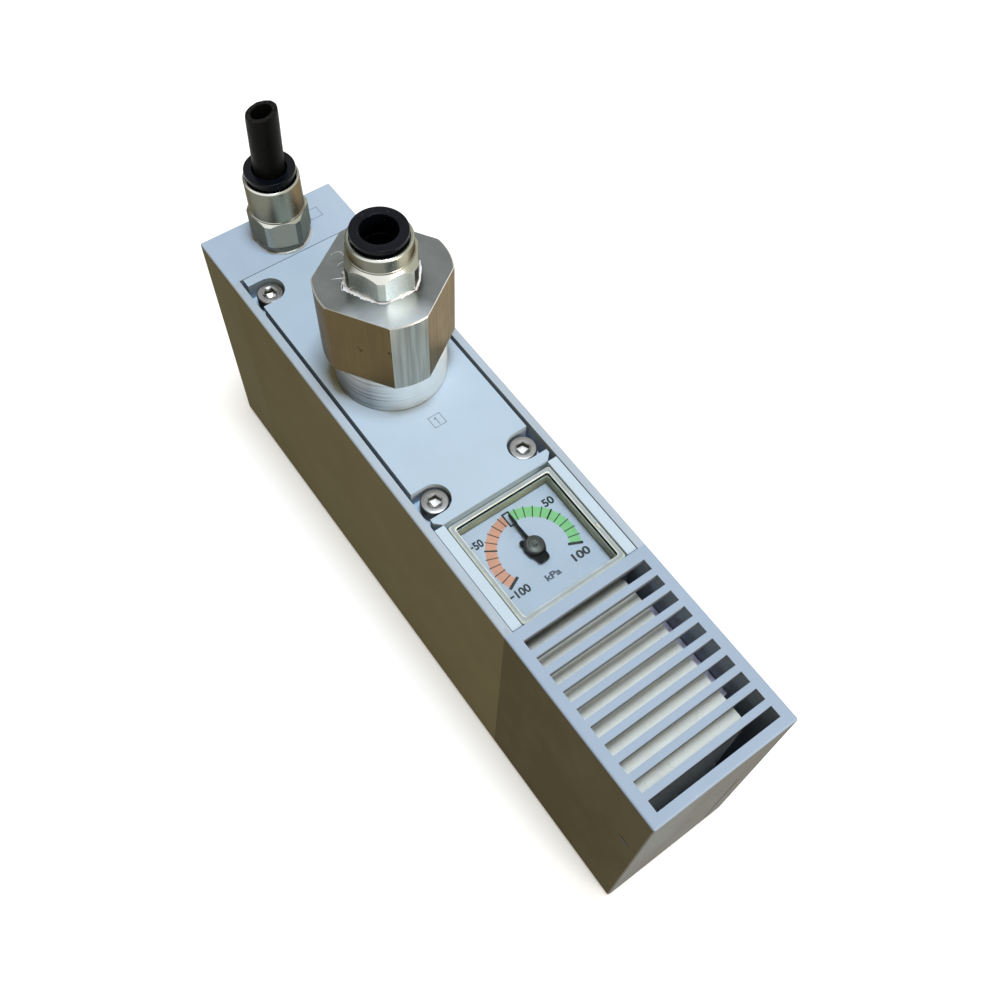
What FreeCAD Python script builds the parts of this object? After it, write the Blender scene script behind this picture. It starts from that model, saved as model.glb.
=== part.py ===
import FreeCAD, Part
import math
import os
import re

import Sketcher
from fcgear import fcgear, involute

# Vacuum ejector with gauge and silencer, as a parametric document in millimetres.
# Origin: middle of the underside. X runs from the supply end to the silencer end,
# Y across the narrow width, Z up through the ports.

# Driving sizes: name, millimetres (or degrees, or a count), what it is
SIZE_TABLE = (
    ("width", 40.0, "outside width of housing, end cap and cover"),
    ("height", 78.0, "underside to top face"),
    ("cap_length", 17.5, "end cap along X"),
    ("housing_length", 120.2, "housing along X"),
    ("cover_length", 50.6, "silencer cover along X"),
    ("edge_round", 2.5, "radius along the bottom edges"),
    ("edge_break", 0.6, "small radius along the top edges"),
    ("rail_wall", 2.2, "side rail beside the top recess"),
    ("port_plate_thickness", 8.0, "port plate"),
    ("port_plate_side_gap", 1.0, "port plate to each rail"),
    ("seam_gap", 0.2, "joint line between neighbouring panels"),
    ("plate_corner_cut", 1.6, "chamfer on the corners of the port plate"),
    ("vacuum_inset", 62.5, "supply end to the vacuum port axis"),
    ("supply_offset", 0.35, "supply port axis past the middle of the end cap"),
    ("screw_radius", 2.0, "M4 thread"),
    ("screw_head_radius", 3.5, "M4 socket head"),
    ("screw_head_height", 4.0, "M4 socket head"),
    ("screw_socket_flats", 3.0, "M4 hexagon socket"),
    ("screw_socket_depth", 2.0, "M4 hexagon socket"),
    ("screw_hole_gap", 0.2, "clearance hole round a screw"),
    ("thread_gap", 0.03, "modelled play in a thread"),
    ("plate_screw_inset", 6.7, "ends of the port plate to its screws"),
    ("plate_screw_edge", 3.95, "sides of the port plate to its screws"),
    ("plate_screw_length", 10.0, "plate screw under its head"),
    ("notch_radius", 4.0, "round end of the notch over a plate screw"),
    ("notch_depth", 5.0, "notch floor under the top of the port plate"),
    ("cap_screw_edge", 6.5, "sides of the end cap to its screws"),
    ("cap_screw_low", 6.0, "underside to the lower end cap screws"),
    ("cap_screw_drop", 24.0, "top face to the upper end cap screws"),
    ("cap_screw_length", 22.0, "end cap screw under its head"),
    ("cap_counterbore", 5.0, "depth of the counterbores in the end cap"),
    ("counterbore_gap", 0.3, "round a screw head in its counterbore"),
    ("duct_half_width", 8.0, "ejector duct, half its width"),
    ("duct_drop", 36.0, "top face to the duct ceiling"),
    ("duct_height", 22.0, "ejector duct"),
    ("deck_thickness", 4.0, "valve deck between duct and suction chamber"),
    ("chamber_screw_gap", 7.0, "suction chamber to the plate screws, along X"),
    ("screw_land", 0.65, "metal between the seal groove and a plate screw"),
    ("filter_ledge", 0.9, "ledge that carries the filter, beyond the chamber"),
    ("filter_thickness", 2.0, "suction filter"),
    ("filter_gap", 0.1, "round the filter in its rebate"),
    ("seal_land", 0.5, "metal between filter rebate and seal groove"),
    ("seal_width", 1.3, "square-cut seals"),
    ("seal_depth", 1.0, "square-cut seals"),
    ("duct_web", 3.5, "wall between the duct and the side channels"),
    ("side_wall", 3.4, "outside wall beside the side channels"),
    ("side_channel_floor", 11.0, "underside to the side channels"),
    ("side_channel_drop", 30.0, "top face to the side channels"),
    ("keel_half_width", 8.0, "channel under the duct, half its width"),
    ("keel_floor", 4.0, "underside to the channel under the duct"),
    ("keel_roof", 4.0, "wall between the duct and the channel under it"),
    ("nozzle_flange", 3.0, "flange of the drive nozzle"),
    ("nozzle_length", 13.6, "drive nozzle, flange included"),
    ("nozzle_radius", 5.0, "outside of the drive nozzle"),
    ("nozzle_tip_radius", 2.4, "outside of the drive nozzle at its tip"),
    ("nozzle_bore", 3.0, "inside of the drive nozzle at its flange"),
    ("nozzle_throat", 0.75, "throat radius of the drive nozzle"),
    ("nozzle_mouth", 1.1, "outlet radius of the drive nozzle"),
    ("stage_gap", 3.0, "from one outlet to the next inlet"),
    ("stage_wall", 1.6, "wall of a diffuser at its ends"),
    ("flange_thickness", 3.0, "diffuser flanges"),
    ("flange_gap", 0.1, "flange to the duct walls"),
    ("first_lead", 10.0, "first diffuser, inlet to flange"),
    ("first_tail", 5.0, "first diffuser, flange to outlet"),
    ("first_throat", 1.6, "throat radius of the first diffuser"),
    ("second_lead", 13.0, "second diffuser, inlet to flange"),
    ("second_tail", 9.0, "second diffuser, flange to outlet"),
    ("second_throat", 2.4, "throat radius of the second diffuser"),
    ("third_tail", 11.6, "third diffuser, flange to outlet"),
    ("third_throat", 3.4, "throat radius of the third diffuser"),
    ("flare", 1.5, "how much wider a diffuser is at its ends than at its throat"),
    ("flap_length", 13.2, "check flap from its bead to its tip"),
    ("flap_half_width", 5.0, "check flap"),
    ("flap_thickness", 1.0, "check flap"),
    ("flap_bead", 0.6, "radius of the bead that a flap turns on"),
    ("flap_gap", 0.1, "flap to the deck above it"),
    ("bead_gap", 0.05, "bead to its seat"),
    ("flap_root", 0.6, "flange to the seat of a flap's bead"),
    ("flap_side_gap", 0.2, "flap's sides set in from the shelf's"),
    ("shelf_root", 0.5, "flap shelf inside its flange"),
    ("shelf_lip", 0.2, "flap shelf past the bead's axis"),
    ("shelf_drop", 1.6, "flap shelf under the bead's axis"),
    ("flap_seat_width", 1.2, "deck covered by a flap round its hole"),
    ("first_hole_length", 8.0, "open hole in the deck over the first stage"),
    ("plug_length", 5.0, "plug at the end of the gauge passage"),
    ("passage_radius", 1.5, "gauge passage"),
    ("passage_drop", 6.5, "gauge passage under the floor of the gauge recess"),
    ("supply_passage", 3.0, "radius of the supply passage in the end cap"),
    ("cap_seal_land", 0.6, "duct to the seal of the end cap"),
    ("adapter_base_radius", 14.0, "neck of the port adapter"),
    ("adapter_base_height", 12.0, "neck of the port adapter above the plate"),
    ("adapter_head_radius", 16.0, "head of the port adapter"),
    ("adapter_height", 34.0, "port adapter above the plate"),
    ("adapter_flats", 28.0, "across the milled flats"),
    ("adapter_turn", 33.2, "direction of a flat, from +X"),
    ("adapter_chamfer", 0.8, "chamfer round the top of the adapter"),
    ("adapter_thread", 10.4, "radius of the adapter's lower thread"),
    ("adapter_thread_length", 7.4, "adapter's lower thread"),
    ("adapter_bore", 7.0, "bore of the adapter"),
    ("adapter_socket_depth", 13.0, "threaded socket for the fitting"),
    ("adapter_seal_inner", 11.2, "seal under the adapter"),
    ("tube_radius", 4.0, "air tube, outside"),
    ("tube_bore", 2.6, "air tube, inside"),
    ("tube_rise", 39.5, "middle of the supply tube's cut end above the top face"),
    ("tube_cut_angle", 12.8, "slant of the cut end"),
    ("tube_cut_turn", 48.6, "direction in which the cut end rises, from +X"),
    ("tube_bend_gap", 0.6, "push ring to where the tube starts to lean"),
    ("tube_lean", 4.0, "free part of the tube out of upright"),
    ("tube_lean_turn", 113.7, "direction in which the tube leans, from +X"),
    ("tube_play", 0.1, "tube to the bore of its fitting"),
    ("fitting_bore", 3.0, "air way through a fitting"),
    ("fitting_guide_depth", 4.0, "guide under the tube seal"),
    ("fitting_seal_height", 2.2, "tube seal in a fitting"),
    ("fitting_seal_wall", 1.7, "tube seal, across its section"),
    ("collet_height", 4.6, "collet"),
    ("collet_wall", 1.1, "collet, across its section"),
    ("collet_slot", 0.6, "slots between the collet's claws"),
    ("collet_foot", 1.2, "unslotted foot of a collet"),
    ("collet_neck", 0.5, "wall of the collet's claws"),
    ("collet_lip", 0.8, "wall of the claws at their tips"),
    ("ring_radius", 6.55, "upper tier of a push ring, which lets the tube go"),
    ("ring_bore", 4.3, "hole in a push ring"),
    ("ring_sleeve", 4.95, "outside of a push ring's sleeve"),
    ("ring_tier", 1.0, "upper tier of a push ring"),
    ("ring_step", 0.3, "ring's lower tier set in from its upper one"),
    ("ring_break", 0.15, "small chamfers on a push ring"),
    ("ring_head", 2.6, "both tiers of a push ring"),
    ("ring_length", 4.9, "push ring with its sleeve"),
    ("ring_clear", 0.3, "push ring to the fitting round it"),
    ("ring_travel", 0.9, "push ring's sleeve to the collet under it"),
    ("vacuum_ring_rise", 2.0, "push ring above the rim of the vacuum fitting"),
    ("supply_ring_rise", 2.5, "push ring above the rim of the supply fitting"),
    ("mouth_depth", 1.6, "mouth of a fitting, which takes the ring's lower tier"),
    ("mouth_lip", 0.8, "lip under the mouth, round the ring's sleeve"),
    ("rim_break", 0.4, "chamfer round a fitting's rim"),
    ("thread_lead", 0.6, "chamfer at the end of a fitting's thread"),
    ("vacuum_hex_flats", 16.0, "hexagon of the vacuum fitting"),
    ("vacuum_hex_height", 7.6, "hexagon of the vacuum fitting"),
    ("vacuum_hex_chamfer", 1.6, "drop of the turned chamfer at its corners"),
    ("vacuum_rim", 11.7, "rim of the vacuum fitting above the adapter"),
    ("vacuum_thread", 6.5, "thread radius of the vacuum fitting"),
    ("vacuum_thread_length", 11.0, "thread of the vacuum fitting"),
    ("vacuum_body_radius", 7.45, "round body of the vacuum fitting"),
    ("vacuum_hex_turn", -33.2, "direction of a corner of the vacuum fitting"),
    ("supply_hex_flats", 14.0, "hexagon of the supply fitting"),
    ("supply_hex_height", 8.4, "hexagon of the supply fitting"),
    ("supply_hex_chamfer", 0.7, "drop of the turned chamfer at its corners"),
    ("supply_rim", 20.65, "rim of the supply fitting above the top face"),
    ("supply_thread", 4.8, "thread radius of the supply fitting"),
    ("supply_thread_length", 8.0, "thread of the supply fitting"),
    ("supply_body_radius", 7.15, "round body of the supply fitting"),
    ("supply_hex_turn", -48.6, "direction of a corner of the supply fitting"),
    ("washer_thickness", 2.0, "washer under the supply fitting"),
    ("washer_radius", 7.4, "washer under the supply fitting"),
    ("washer_play", 0.05, "washer to the thread in it"),
    ("hex_corner_cut", 0.45, "turned off the corners of the hexagons"),
    ("hex_foot_chamfer", 0.6, "turned chamfer round the foot of a hexagon"),
    ("hex_core", 0.3, "flats of a hexagon to the round core in it"),
    ("gauge_size", 29.3, "square gauge, outside"),
    ("gauge_recess_depth", 24.0, "recess for the gauge under the top face"),
    ("gauge_plate_gap", 1.1, "port plate to the gauge"),
    ("dial_offset", 0.5, "dial centre nearer the port plate than the gauge centre"),
    ("lens_sink", 0.3, "top of the lens under the top face"),
    ("lens_thickness", 1.4, "clear lens"),
    ("lens_border", 1.2, "skirt of the lens"),
    ("lens_skirt", 8.0, "lens, top to bottom"),
    ("lens_corner", 1.2, "corner radius of the lens"),
    ("dial_drop", 5.3, "dial face under the top face"),
    ("dial_thickness", 0.8, "dial plate"),
    ("dial_gap", 0.25, "dial plate to the lens skirt"),
    ("case_wall", 1.6, "gauge case"),
    ("case_floor", 2.0, "gauge case"),
    ("seal_washer_thickness", 1.0, "washer under the gauge case"),
    ("stem_radius", 3.0, "threaded stem of the gauge socket"),
    ("stem_reach", 5.0, "stem of the gauge socket into the housing"),
    ("stem_bore", 1.0, "air way through the gauge socket"),
    ("socket_radius", 4.0, "gauge socket inside the case"),
    ("socket_height", 6.4, "gauge socket inside the case"),
    ("tube_ring_radius", 10.8, "middle line of the curved pressure tube"),
    ("tube_ring_wall", 1.2, "curved pressure tube, across its flat section"),
    ("tube_ring_height", 4.0, "curved pressure tube, tall way"),
    ("solder_gap", 0.2, "socket's arm to the curved tube"),
    ("movement_plate", 0.8, "plates of the gauge movement"),
    ("movement_space", 5.0, "between the two plates"),
    ("movement_half_width", 4.2, "plates of the gauge movement"),
    ("movement_front", 3.6, "plates, from the dial centre away from the sector"),
    ("movement_back", 9.2, "plates, from the dial centre towards the sector"),
    ("pillar_radius", 0.8, "pillars between the plates"),
    ("pillar_spigot", 0.4, "riveted ends of the pillars"),
    ("pillar_side", 3.3, "dial centre to the pillars, along X"),
    ("arbor_radius", 0.5, "arbors of the movement"),
    ("pivot_play", 0.05, "arbors in their holes"),
    ("gear_module", 0.14, "pinion and sector"),
    ("pinion_teeth", 12, "teeth of the pinion"),
    ("sector_wheel_teeth", 96, "teeth of the whole wheel that the sector is part of"),
    ("gear_play", 0.06, "added to the distance between the arbors"),
    ("sector_half_angle", 19.0, "half of the sector's toothed arc"),
    ("sector_thickness", 0.8, "sector gear"),
    ("tail_length", 2.0, "sector's arbor to its tail pin"),
    ("link_reach", 5.5, "tail pin to tip pin, along X"),
    ("link_half_width", 0.6, "link"),
    ("link_thickness", 0.5, "link"),
    ("link_pin", 0.35, "pins of the link"),
    ("link_stroke", 0.5, "travel of the link, each way"),
    ("link_clear", 0.3, "link's slot round the tip pin"),
    ("link_eye", 0.9, "round end of the link"),
    ("link_head", 1.2, "slotted head of the link, half its width"),
    ("link_wall", 0.5, "ends of the link's head past its slot"),
    ("sector_hub", 1.2, "hub of the sector"),
    ("sector_tail", 0.7, "tail of the sector, half its width"),
    ("pointer_hub_radius", 2.25, "hub of the pointer"),
    ("pointer_neck", 1.2, "neck of the pointer's hub"),
    ("pointer_neck_gap", 0.4, "dial to the neck of the hub"),
    ("pointer_lift", 1.0, "dial to the pointer"),
    ("pointer_hub_height", 2.1, "hub above the underside of the pointer"),
    ("pointer_hub_break", 0.5, "chamfer of the hub"),
    ("pointer_length", 10.4, "dial centre to the pointer's tip"),
    ("pointer_tail", 4.4, "dial centre to the pointer's tail"),
    ("pointer_thickness", 0.5, "pointer"),
    ("pointer_root", 0.8, "half width of the pointer at its hub"),
    ("pointer_tip", 0.25, "half width of the pointer at its tip"),
    ("pointer_tail_width", 1.3, "half width of the pointer's tail end"),
    ("trim_gauge_gap", 0.35, "gauge to the trim beside it"),
    ("trim_play", 0.2, "trim to the rail and the top face"),
    ("cover_wall", 2.2, "walls of the silencer cover"),
    ("grille_thickness", 2.0, "slotted top of the silencer cover"),
    ("slot_count", 10, "slots in the silencer cover"),
    ("slot_first", 2.9, "housing to the first slot"),
    ("slot_last", 2.68, "last slot to the cover's end"),
    ("slot_width", 2.9, "slots"),
    ("slot_side", 2.9, "cover's sides to the slots"),
    ("pry_slit_length", 4.6, "lens-shaped slit in the side of the cover"),
    ("pry_slit_height", 2.0, "lens-shaped slit in the side of the cover"),
    ("pry_slit_inset", 4.4, "cover's end to the middle of the slit"),
    ("pry_slit_drop", 25.0, "top face to the middle of the slit"),
    ("end_groove_edge", 7.5, "cover's side to the groove in its end face"),
    ("end_groove_width", 0.6, "groove in the end face"),
    ("end_groove_depth", 0.4, "groove in the end face"),
    ("end_groove_drop", 32.0, "top face to the groove's upper end"),
    ("end_groove_bottom", 5.0, "underside to the groove's lower end"),
    ("tongue_reach", 8.0, "cover's tongue in the channel under the duct"),
    ("tongue_root", 6.0, "cover's tongue inside the cover"),
    ("tongue_play", 0.15, "cover's tongue to the channel"),
    ("rib_thickness", 2.0, "ribs inside the cover"),
    ("rib_drop", 18.0, "top face to the top of the side ribs"),
    ("rib_inset", 7.0, "cover's ends to the middle of the side ribs"),
    ("foam_start", 1.3, "housing to the absorber"),
    ("foam_end", 6.6, "absorber to the cover's end"),
    ("foam_side_gap", 3.5, "cover's side walls to the sound absorber"),
    ("foam_drop", 10.0, "absorber under the top face"),
    ("foam_seat_gap", 1.15, "absorber over the cover's tongue"),
    ("foam_bore", 7.0, "bore of the absorber"),
    ("foam_bore_end", 10.0, "absorber left closed past its bore"),
    ("strip_drop", 15.0, "side strip of the absorber under the top face"),
    ("strip_play", 0.3, "side strip to the ribs and the wall"),
    ("cover_screw_radius", 1.5, "M3 thread"),
    ("cover_screw_head", 3.0, "M3 countersunk head"),
    ("cover_screw_cover", 6.55, "tongue left over the end of a cover screw"),
    ("cover_screw_side", 4.0, "centre line to a cover screw"),
    ("cover_screw_sink", 0.3, "screw head under the bottom face"),
    ("cover_socket_flats", 2.0, "M3 hexagon socket"),
    ("cover_socket_depth", 1.2, "M3 hexagon socket"),
)

# Places and shared sizes, each worked out from the driving sizes
PLACES = {
    "west": "-(cap_length + housing_length + cover_length) / 2",
    "housing_west": "west + cap_length",
    "housing_east": "housing_west + housing_length",
    "east": "housing_east + cover_length",
    "half_width": "width / 2",
    "rail_inner": "half_width - rail_wall",
    "ledge": "height - port_plate_thickness",
    "plate_west": "housing_west + seam_gap",
    "plate_east": "gauge_west - gauge_plate_gap",
    "plate_side": "rail_inner - port_plate_side_gap",
    "notch_floor": "height - notch_depth",
    "plate_screw_first": "plate_west + plate_screw_inset",
    "plate_screw_second": "plate_east - plate_screw_inset",
    "plate_screw_side": "plate_side - plate_screw_edge",
    "cap_screw_side": "half_width - cap_screw_edge",
    "cap_screw_high": "height - cap_screw_drop",
    "vacuum_x": "west + vacuum_inset",
    "supply_x": "west + cap_length / 2 + supply_offset",
    "duct_ceiling": "height - duct_drop",
    "duct_floor": "duct_ceiling - duct_height",
    "duct_axis": "duct_floor + duct_height / 2",
    "chamber_floor": "duct_ceiling + deck_thickness",
    "chamber_start": "plate_screw_first + chamber_screw_gap",
    "chamber_end": "plate_screw_second - chamber_screw_gap",
    "seal_reach": "filter_ledge + seal_land + seal_width",
    "chamber_half_width": "plate_screw_side - screw_radius - screw_land - seal_reach",
    "side_channel_inner": "duct_half_width + duct_web",
    "side_channel_outer": "half_width - side_wall",
    "side_channel_top": "height - side_channel_drop",
    "keel_top": "duct_floor - keel_roof",
    "flange_half_width": "duct_half_width - flange_gap",
    "flange_floor": "duct_floor + flange_gap",
    "flange_ceiling": "duct_ceiling - flange_gap",
    "nozzle_end": "housing_west + nozzle_length",
    "first_in": "nozzle_end + stage_gap",
    "first_flange": "first_in + first_lead",
    "first_out": "first_flange + flange_thickness + first_tail",
    "second_in": "first_out + stage_gap",
    "second_flange": "second_in + second_lead",
    "second_out": "second_flange + flange_thickness + second_tail",
    "third_in": "second_out + stage_gap",
    "third_flange": "housing_east - third_tail - flange_thickness",
    "third_out": "housing_east",
    "flap_axis": "duct_ceiling - flap_gap - flap_bead",
    "shelf_bottom": "flap_axis - shelf_drop",
    "passage_height": "recess_floor - passage_drop",
    "adapter_top": "height + adapter_height",
    "vacuum_rim_z": "adapter_top + vacuum_rim",
    "supply_rim_z": "height + supply_rim",
    "supply_foot": "height + washer_thickness",
    "tube_end": "height + tube_rise",
    "tube_bend": "supply_rim_z + supply_ring_rise + tube_bend_gap",
    "tube_tip_shift": "(tube_end - tube_bend) * tan(tube_lean)",
    "tube_tip_x": "supply_x + tube_tip_shift * cos(tube_lean_turn)",
    "tube_tip_y": "tube_tip_shift * sin(tube_lean_turn)",
    "tube_bore_wall": "tube_radius + tube_play",
    "ring_lower": "ring_radius - ring_step",
    "mouth_radius": "ring_lower + ring_clear",
    "sleeve_bore": "ring_sleeve + ring_clear",
    "gauge_west": "housing_east - seam_gap - gauge_size",
    "gauge_x": "gauge_west + gauge_size / 2",
    "dial_x": "gauge_x - dial_offset",
    "recess_floor": "height - gauge_recess_depth",
    "lens_top": "height - lens_sink",
    "lens_bottom": "lens_top - lens_skirt",
    "dial_top": "height - dial_drop",
    "dial_bottom": "dial_top - dial_thickness",
    "dial_half": "gauge_size / 2 - lens_border - dial_gap",
    "case_bottom": "recess_floor + seal_washer_thickness",
    "case_inside": "case_bottom + case_floor",
    "lower_plate": "case_inside + socket_height",
    "upper_plate": "lower_plate + movement_plate + movement_space",
    "arbor_distance": "gear_module * (pinion_teeth + sector_wheel_teeth) / 2 + gear_play",
    "sector_y": "-arbor_distance",
    "tail_y": "sector_y - tail_length",
    "sector_z": "lower_plate + movement_plate + movement_space / 2 - sector_thickness / 2",
    "link_z": "sector_z + sector_thickness + 0.2",
    "tip_x": "dial_x + link_reach",
    "pointer_z": "dial_top + pointer_lift",
    "pointer_hub_top": "pointer_z + pointer_hub_height",
    "foam_west": "housing_east + foam_start",
    "foam_east": "east - foam_end",
    "foam_top": "height - foam_drop",
    "foam_floor": "tongue_top + foam_seat_gap",
    "foam_half_width": "cover_inner - foam_side_gap",
    "rib_top": "height - rib_drop",
    "trim_inner": "gauge_size / 2 + trim_gauge_gap",
    "slot_half_length": "half_width - slot_side",
    "slot_pitch": "(cover_length - slot_first - slot_last - slot_width) / (slot_count - 1)",
    "end_groove_side": "half_width - end_groove_edge",
    "end_groove_top": "height - end_groove_drop",
    "cover_screw_top": "tongue_top - cover_screw_cover",
    "cover_floor": "cover_wall",
    "cover_inner": "half_width - cover_wall",
    "cover_end": "east - cover_wall",
    "tongue_bottom": "keel_floor + tongue_play",
    "tongue_top": "keel_top - tongue_play",
}

PRESSURE_ANGLE = 20.0

WORD = re.compile(r"[a-z][a-z_0-9]*")
ALONG = {
    "x": FreeCAD.Rotation(FreeCAD.Vector(0, 1, 0), 90),
    "y": FreeCAD.Rotation(FreeCAD.Vector(1, 0, 0), -90),
    "z": FreeCAD.Rotation(),
}

doc = FreeCAD.newDocument("VacuumEjector")
sheet = doc.addObject("Spreadsheet::Sheet", "Sizes")
SIZE_NAMES = set()
PIECES = []


def fill_sheet():
    """Write every driving size into the sheet, one row each."""
    for row, (name, number, meaning) in enumerate(SIZE_TABLE, start=1):
        sheet.set(f"A{row}", meaning)
        sheet.set(f"B{row}", str(number))
        sheet.setAlias(f"B{row}", name)
        SIZE_NAMES.add(name)
    doc.recompute()


# Formulas and placing

def formula(text):
    """Turn a formula in plain names into one that reads the sheet."""
    def read_name(match):
        word = match.group()
        if word in PLACES:
            return "(" + formula(PLACES[word]) + ")"
        if word in SIZE_NAMES:
            return "Sizes." + word
        return word
    return WORD.sub(read_name, str(text))


def value(text):
    """The number that a formula gives now."""
    return float(sheet.evalExpression(formula(text)))


def bind(item, **formulas):
    """Tie properties of an object to formulas."""
    for prop, text in formulas.items():
        item.setExpression(prop, formula(text))


def place(item, x="0", y="0", z="0", along="z", turn="0"):
    """Put an object at a place, its own Z along an axis, or turned about Z."""
    item.Placement = FreeCAD.Placement(FreeCAD.Vector(), ALONG[along])
    for axis, text in zip("xyz", (x, y, z)):
        item.setExpression("Placement.Base." + axis, formula(text))
    if turn != "0":
        item.setExpression("Placement.Rotation.Angle", formula(turn))
    return item


def piece(item):
    """Count an object as a finished piece: its label names its file."""
    PIECES.append(item)
    return item


# Primitive solids and booleans

def box(name, x, y, z):
    """A block between two places on each axis."""
    item = doc.addObject("Part::Box", name)
    for side, (low, high) in zip(("Length", "Width", "Height"), (x, y, z)):
        bind(item, **{side: f"({high}) - ({low})"})
    return place(item, x[0], y[0], z[0])


def rod(name, radius, centre, span, along="z"):
    """A cylinder round a centre line, between two places along it."""
    item = doc.addObject("Part::Cylinder", name)
    bind(item, Radius=radius, Height=f"({span[1]}) - ({span[0]})")
    first, second = centre
    spot = {"x": (span[0], first, second), "y": (first, span[0], second), "z": (first, second, span[0])}
    return place(item, *spot[along], along=along)


def hexagon(name, flats, centre, span, turn="0"):
    """A six-sided bar across its flats, standing up."""
    item = doc.addObject("Part::Prism", name)
    item.Polygon = 6
    bind(item, Circumradius=f"({flats}) / sqrt(3)", Height=f"({span[1]}) - ({span[0]})")
    return place(item, centre[0], centre[1], span[0], turn=turn)


def leaning(item, direction, angle):
    """Tip an object about its own foot by an angle, towards a direction from +X."""
    way = math.radians(value(direction))
    item.Placement.Rotation = FreeCAD.Rotation(FreeCAD.Vector(-math.sin(way), math.cos(way), 0), 1)
    item.setExpression("Placement.Rotation.Angle", formula(angle))
    return item


def join(name, *items):
    """One solid from several that touch or cross."""
    item = doc.addObject("Part::MultiFuse", name)
    item.Shapes = list(items)
    item.Refine = True
    return item


def cut(name, base, *tools):
    """What is left of a base without its tools."""
    item = doc.addObject("Part::Cut", name)
    item.Base = base
    item.Tool = tools[0] if len(tools) == 1 else join(name + "_tools", *tools)
    item.Refine = True
    return item


def common(name, first, second):
    """What two solids share."""
    item = doc.addObject("Part::MultiCommon", name)
    item.Shapes = [first, second]
    item.Refine = True
    return item


def group(name, items):
    """Separate like solids under one name."""
    item = doc.addObject("Part::Compound", name)
    item.Links = list(items)
    return item


def rounded(name, base, radius, wanted):
    """Round the edges that a test on their middle point and direction picks."""
    doc.recompute()
    item = doc.addObject("Part::Fillet", name)
    item.Base = base
    size = value(radius)
    picked = []
    for number, edge in enumerate(base.Shape.Edges, start=1):
        straight = edge.Curve.TypeId == "Part::GeomLine"
        if straight and wanted(edge.CenterOfMass, edge.tangentAt(edge.FirstParameter)):
            picked.append((number, size, size))
    item.Edges = picked
    return item


def bottom_edge(spot, way):
    """Whether an edge is one of the long ones along the bottom."""
    return abs(way.x) > 0.9 and spot.z < 1


def top_edge(spot, way):
    """Whether an edge is one of the long ones along the top."""
    return abs(way.x) > 0.9 and spot.z > value("height") - 1


# Turned and pressed pieces from sketches

def outline_sketch(body, role, points):
    """A closed outline whose corners are tied to formulas, on one of the body's own planes."""
    sketch = body.newObject("Sketcher::SketchObject", body.Name + "_outline")
    plane = [item for item in body.Origin.OriginFeatures if item.Role == role][0]
    sketch.AttachmentSupport = (plane, [""])
    sketch.MapMode = "FlatFace"
    spots = [(value(across), value(up)) for across, up in points]
    count = len(spots)
    lines = []
    for index, spot in enumerate(spots):
        after = spots[(index + 1) % count]
        lines.append(Part.LineSegment(FreeCAD.Vector(*spot, 0), FreeCAD.Vector(*after, 0)))
    sketch.addGeometry(lines)
    ties = []
    for index, (across, up) in enumerate(spots):
        ties.append(Sketcher.Constraint("Coincident", index, 2, (index + 1) % count, 1))
        ties.append(Sketcher.Constraint("DistanceX", -1, 1, index, 1, across))
        ties.append(Sketcher.Constraint("DistanceY", -1, 1, index, 1, up))
    sketch.addConstraint(ties)
    for index, (across, up) in enumerate(points):
        sketch.setExpression(f"Constraints[{3 * index + 1}]", formula(across))
        sketch.setExpression(f"Constraints[{3 * index + 2}]", formula(up))
    return sketch


def turned(name, profile, centre, along="z"):
    """A turned piece: a profile of (radius, place along the axis) spun round its axis."""
    body = doc.addObject("PartDesign::Body", name)
    sketch = outline_sketch(body, "XZ_Plane", profile)
    spin = body.newObject("PartDesign::Revolution", name + "_spin")
    spin.Profile = sketch
    spin.ReferenceAxis = (sketch, ["V_Axis"])
    spin.Angle = 360
    first, second = centre
    spot = {"x": ("0", first, second), "y": (first, "0", second), "z": (first, second, "0")}
    return place(body, *spot[along], along=along)


def pressed(name, outline, span, centre=("0", "0")):
    """A flat piece: an outline in the XY plane, raised between two heights."""
    body = doc.addObject("PartDesign::Body", name)
    sketch = outline_sketch(body, "XY_Plane", outline)
    pad = body.newObject("PartDesign::Pad", name + "_pad")
    pad.Profile = sketch
    bind(pad, Length=f"({span[1]}) - ({span[0]})")
    return place(body, centre[0], centre[1], span[0])


def ring_frame(name, outer, inner):
    """A rectangular frame: one block with another taken out of its middle."""
    return cut(name, box(name + "_outer", *outer), box(name + "_inner", *inner))


# Screws

def socket_screw(name, centre, seat, length, along="z"):
    """A socket-head screw whose head stands on a seat and whose shank runs back from it."""
    away = "-" if along == "x" else ""
    head = f"({seat}) {'-' if away else '+'} screw_head_height"
    bottom = f"({head}) {'+' if away else '-'} screw_socket_depth"
    end = f"({seat}) {'+' if away else '-'} ({length})"
    spans = {"head": (seat, head), "shank": (end, seat), "socket": (bottom, head)}
    if away:
        spans = {part: (high, low) for part, (low, high) in spans.items()}
    top = rod(name + "_head", "screw_head_radius", centre, spans["head"], along)
    shank = rod(name + "_shank", "screw_radius", centre, spans["shank"], along)
    low, high = spans["socket"]
    socket = doc.addObject("Part::Prism", name + "_socket")
    socket.Polygon = 6
    bind(socket, Circumradius="screw_socket_flats / sqrt(3)", Height=f"({high}) - ({low})")
    spot = {"x": (low, *centre), "z": (*centre, low)}
    place(socket, *spot[along], along=along)
    return cut(name, join(name + "_blank", top, shank), socket)


def plate_screw_spots():
    """The four places of the plate screws, in X and Y."""
    sides = ("-plate_screw_side", "plate_screw_side")
    return [(x, y) for x in ("plate_screw_first", "plate_screw_second") for y in sides]


def cap_screw_spots():
    """The four places of the end cap screws, in Y and Z."""
    sides = ("-cap_screw_side", "cap_screw_side")
    return [(y, z) for z in ("cap_screw_low", "cap_screw_high") for y in sides]


# Housing, end cap and silencer cover

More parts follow.
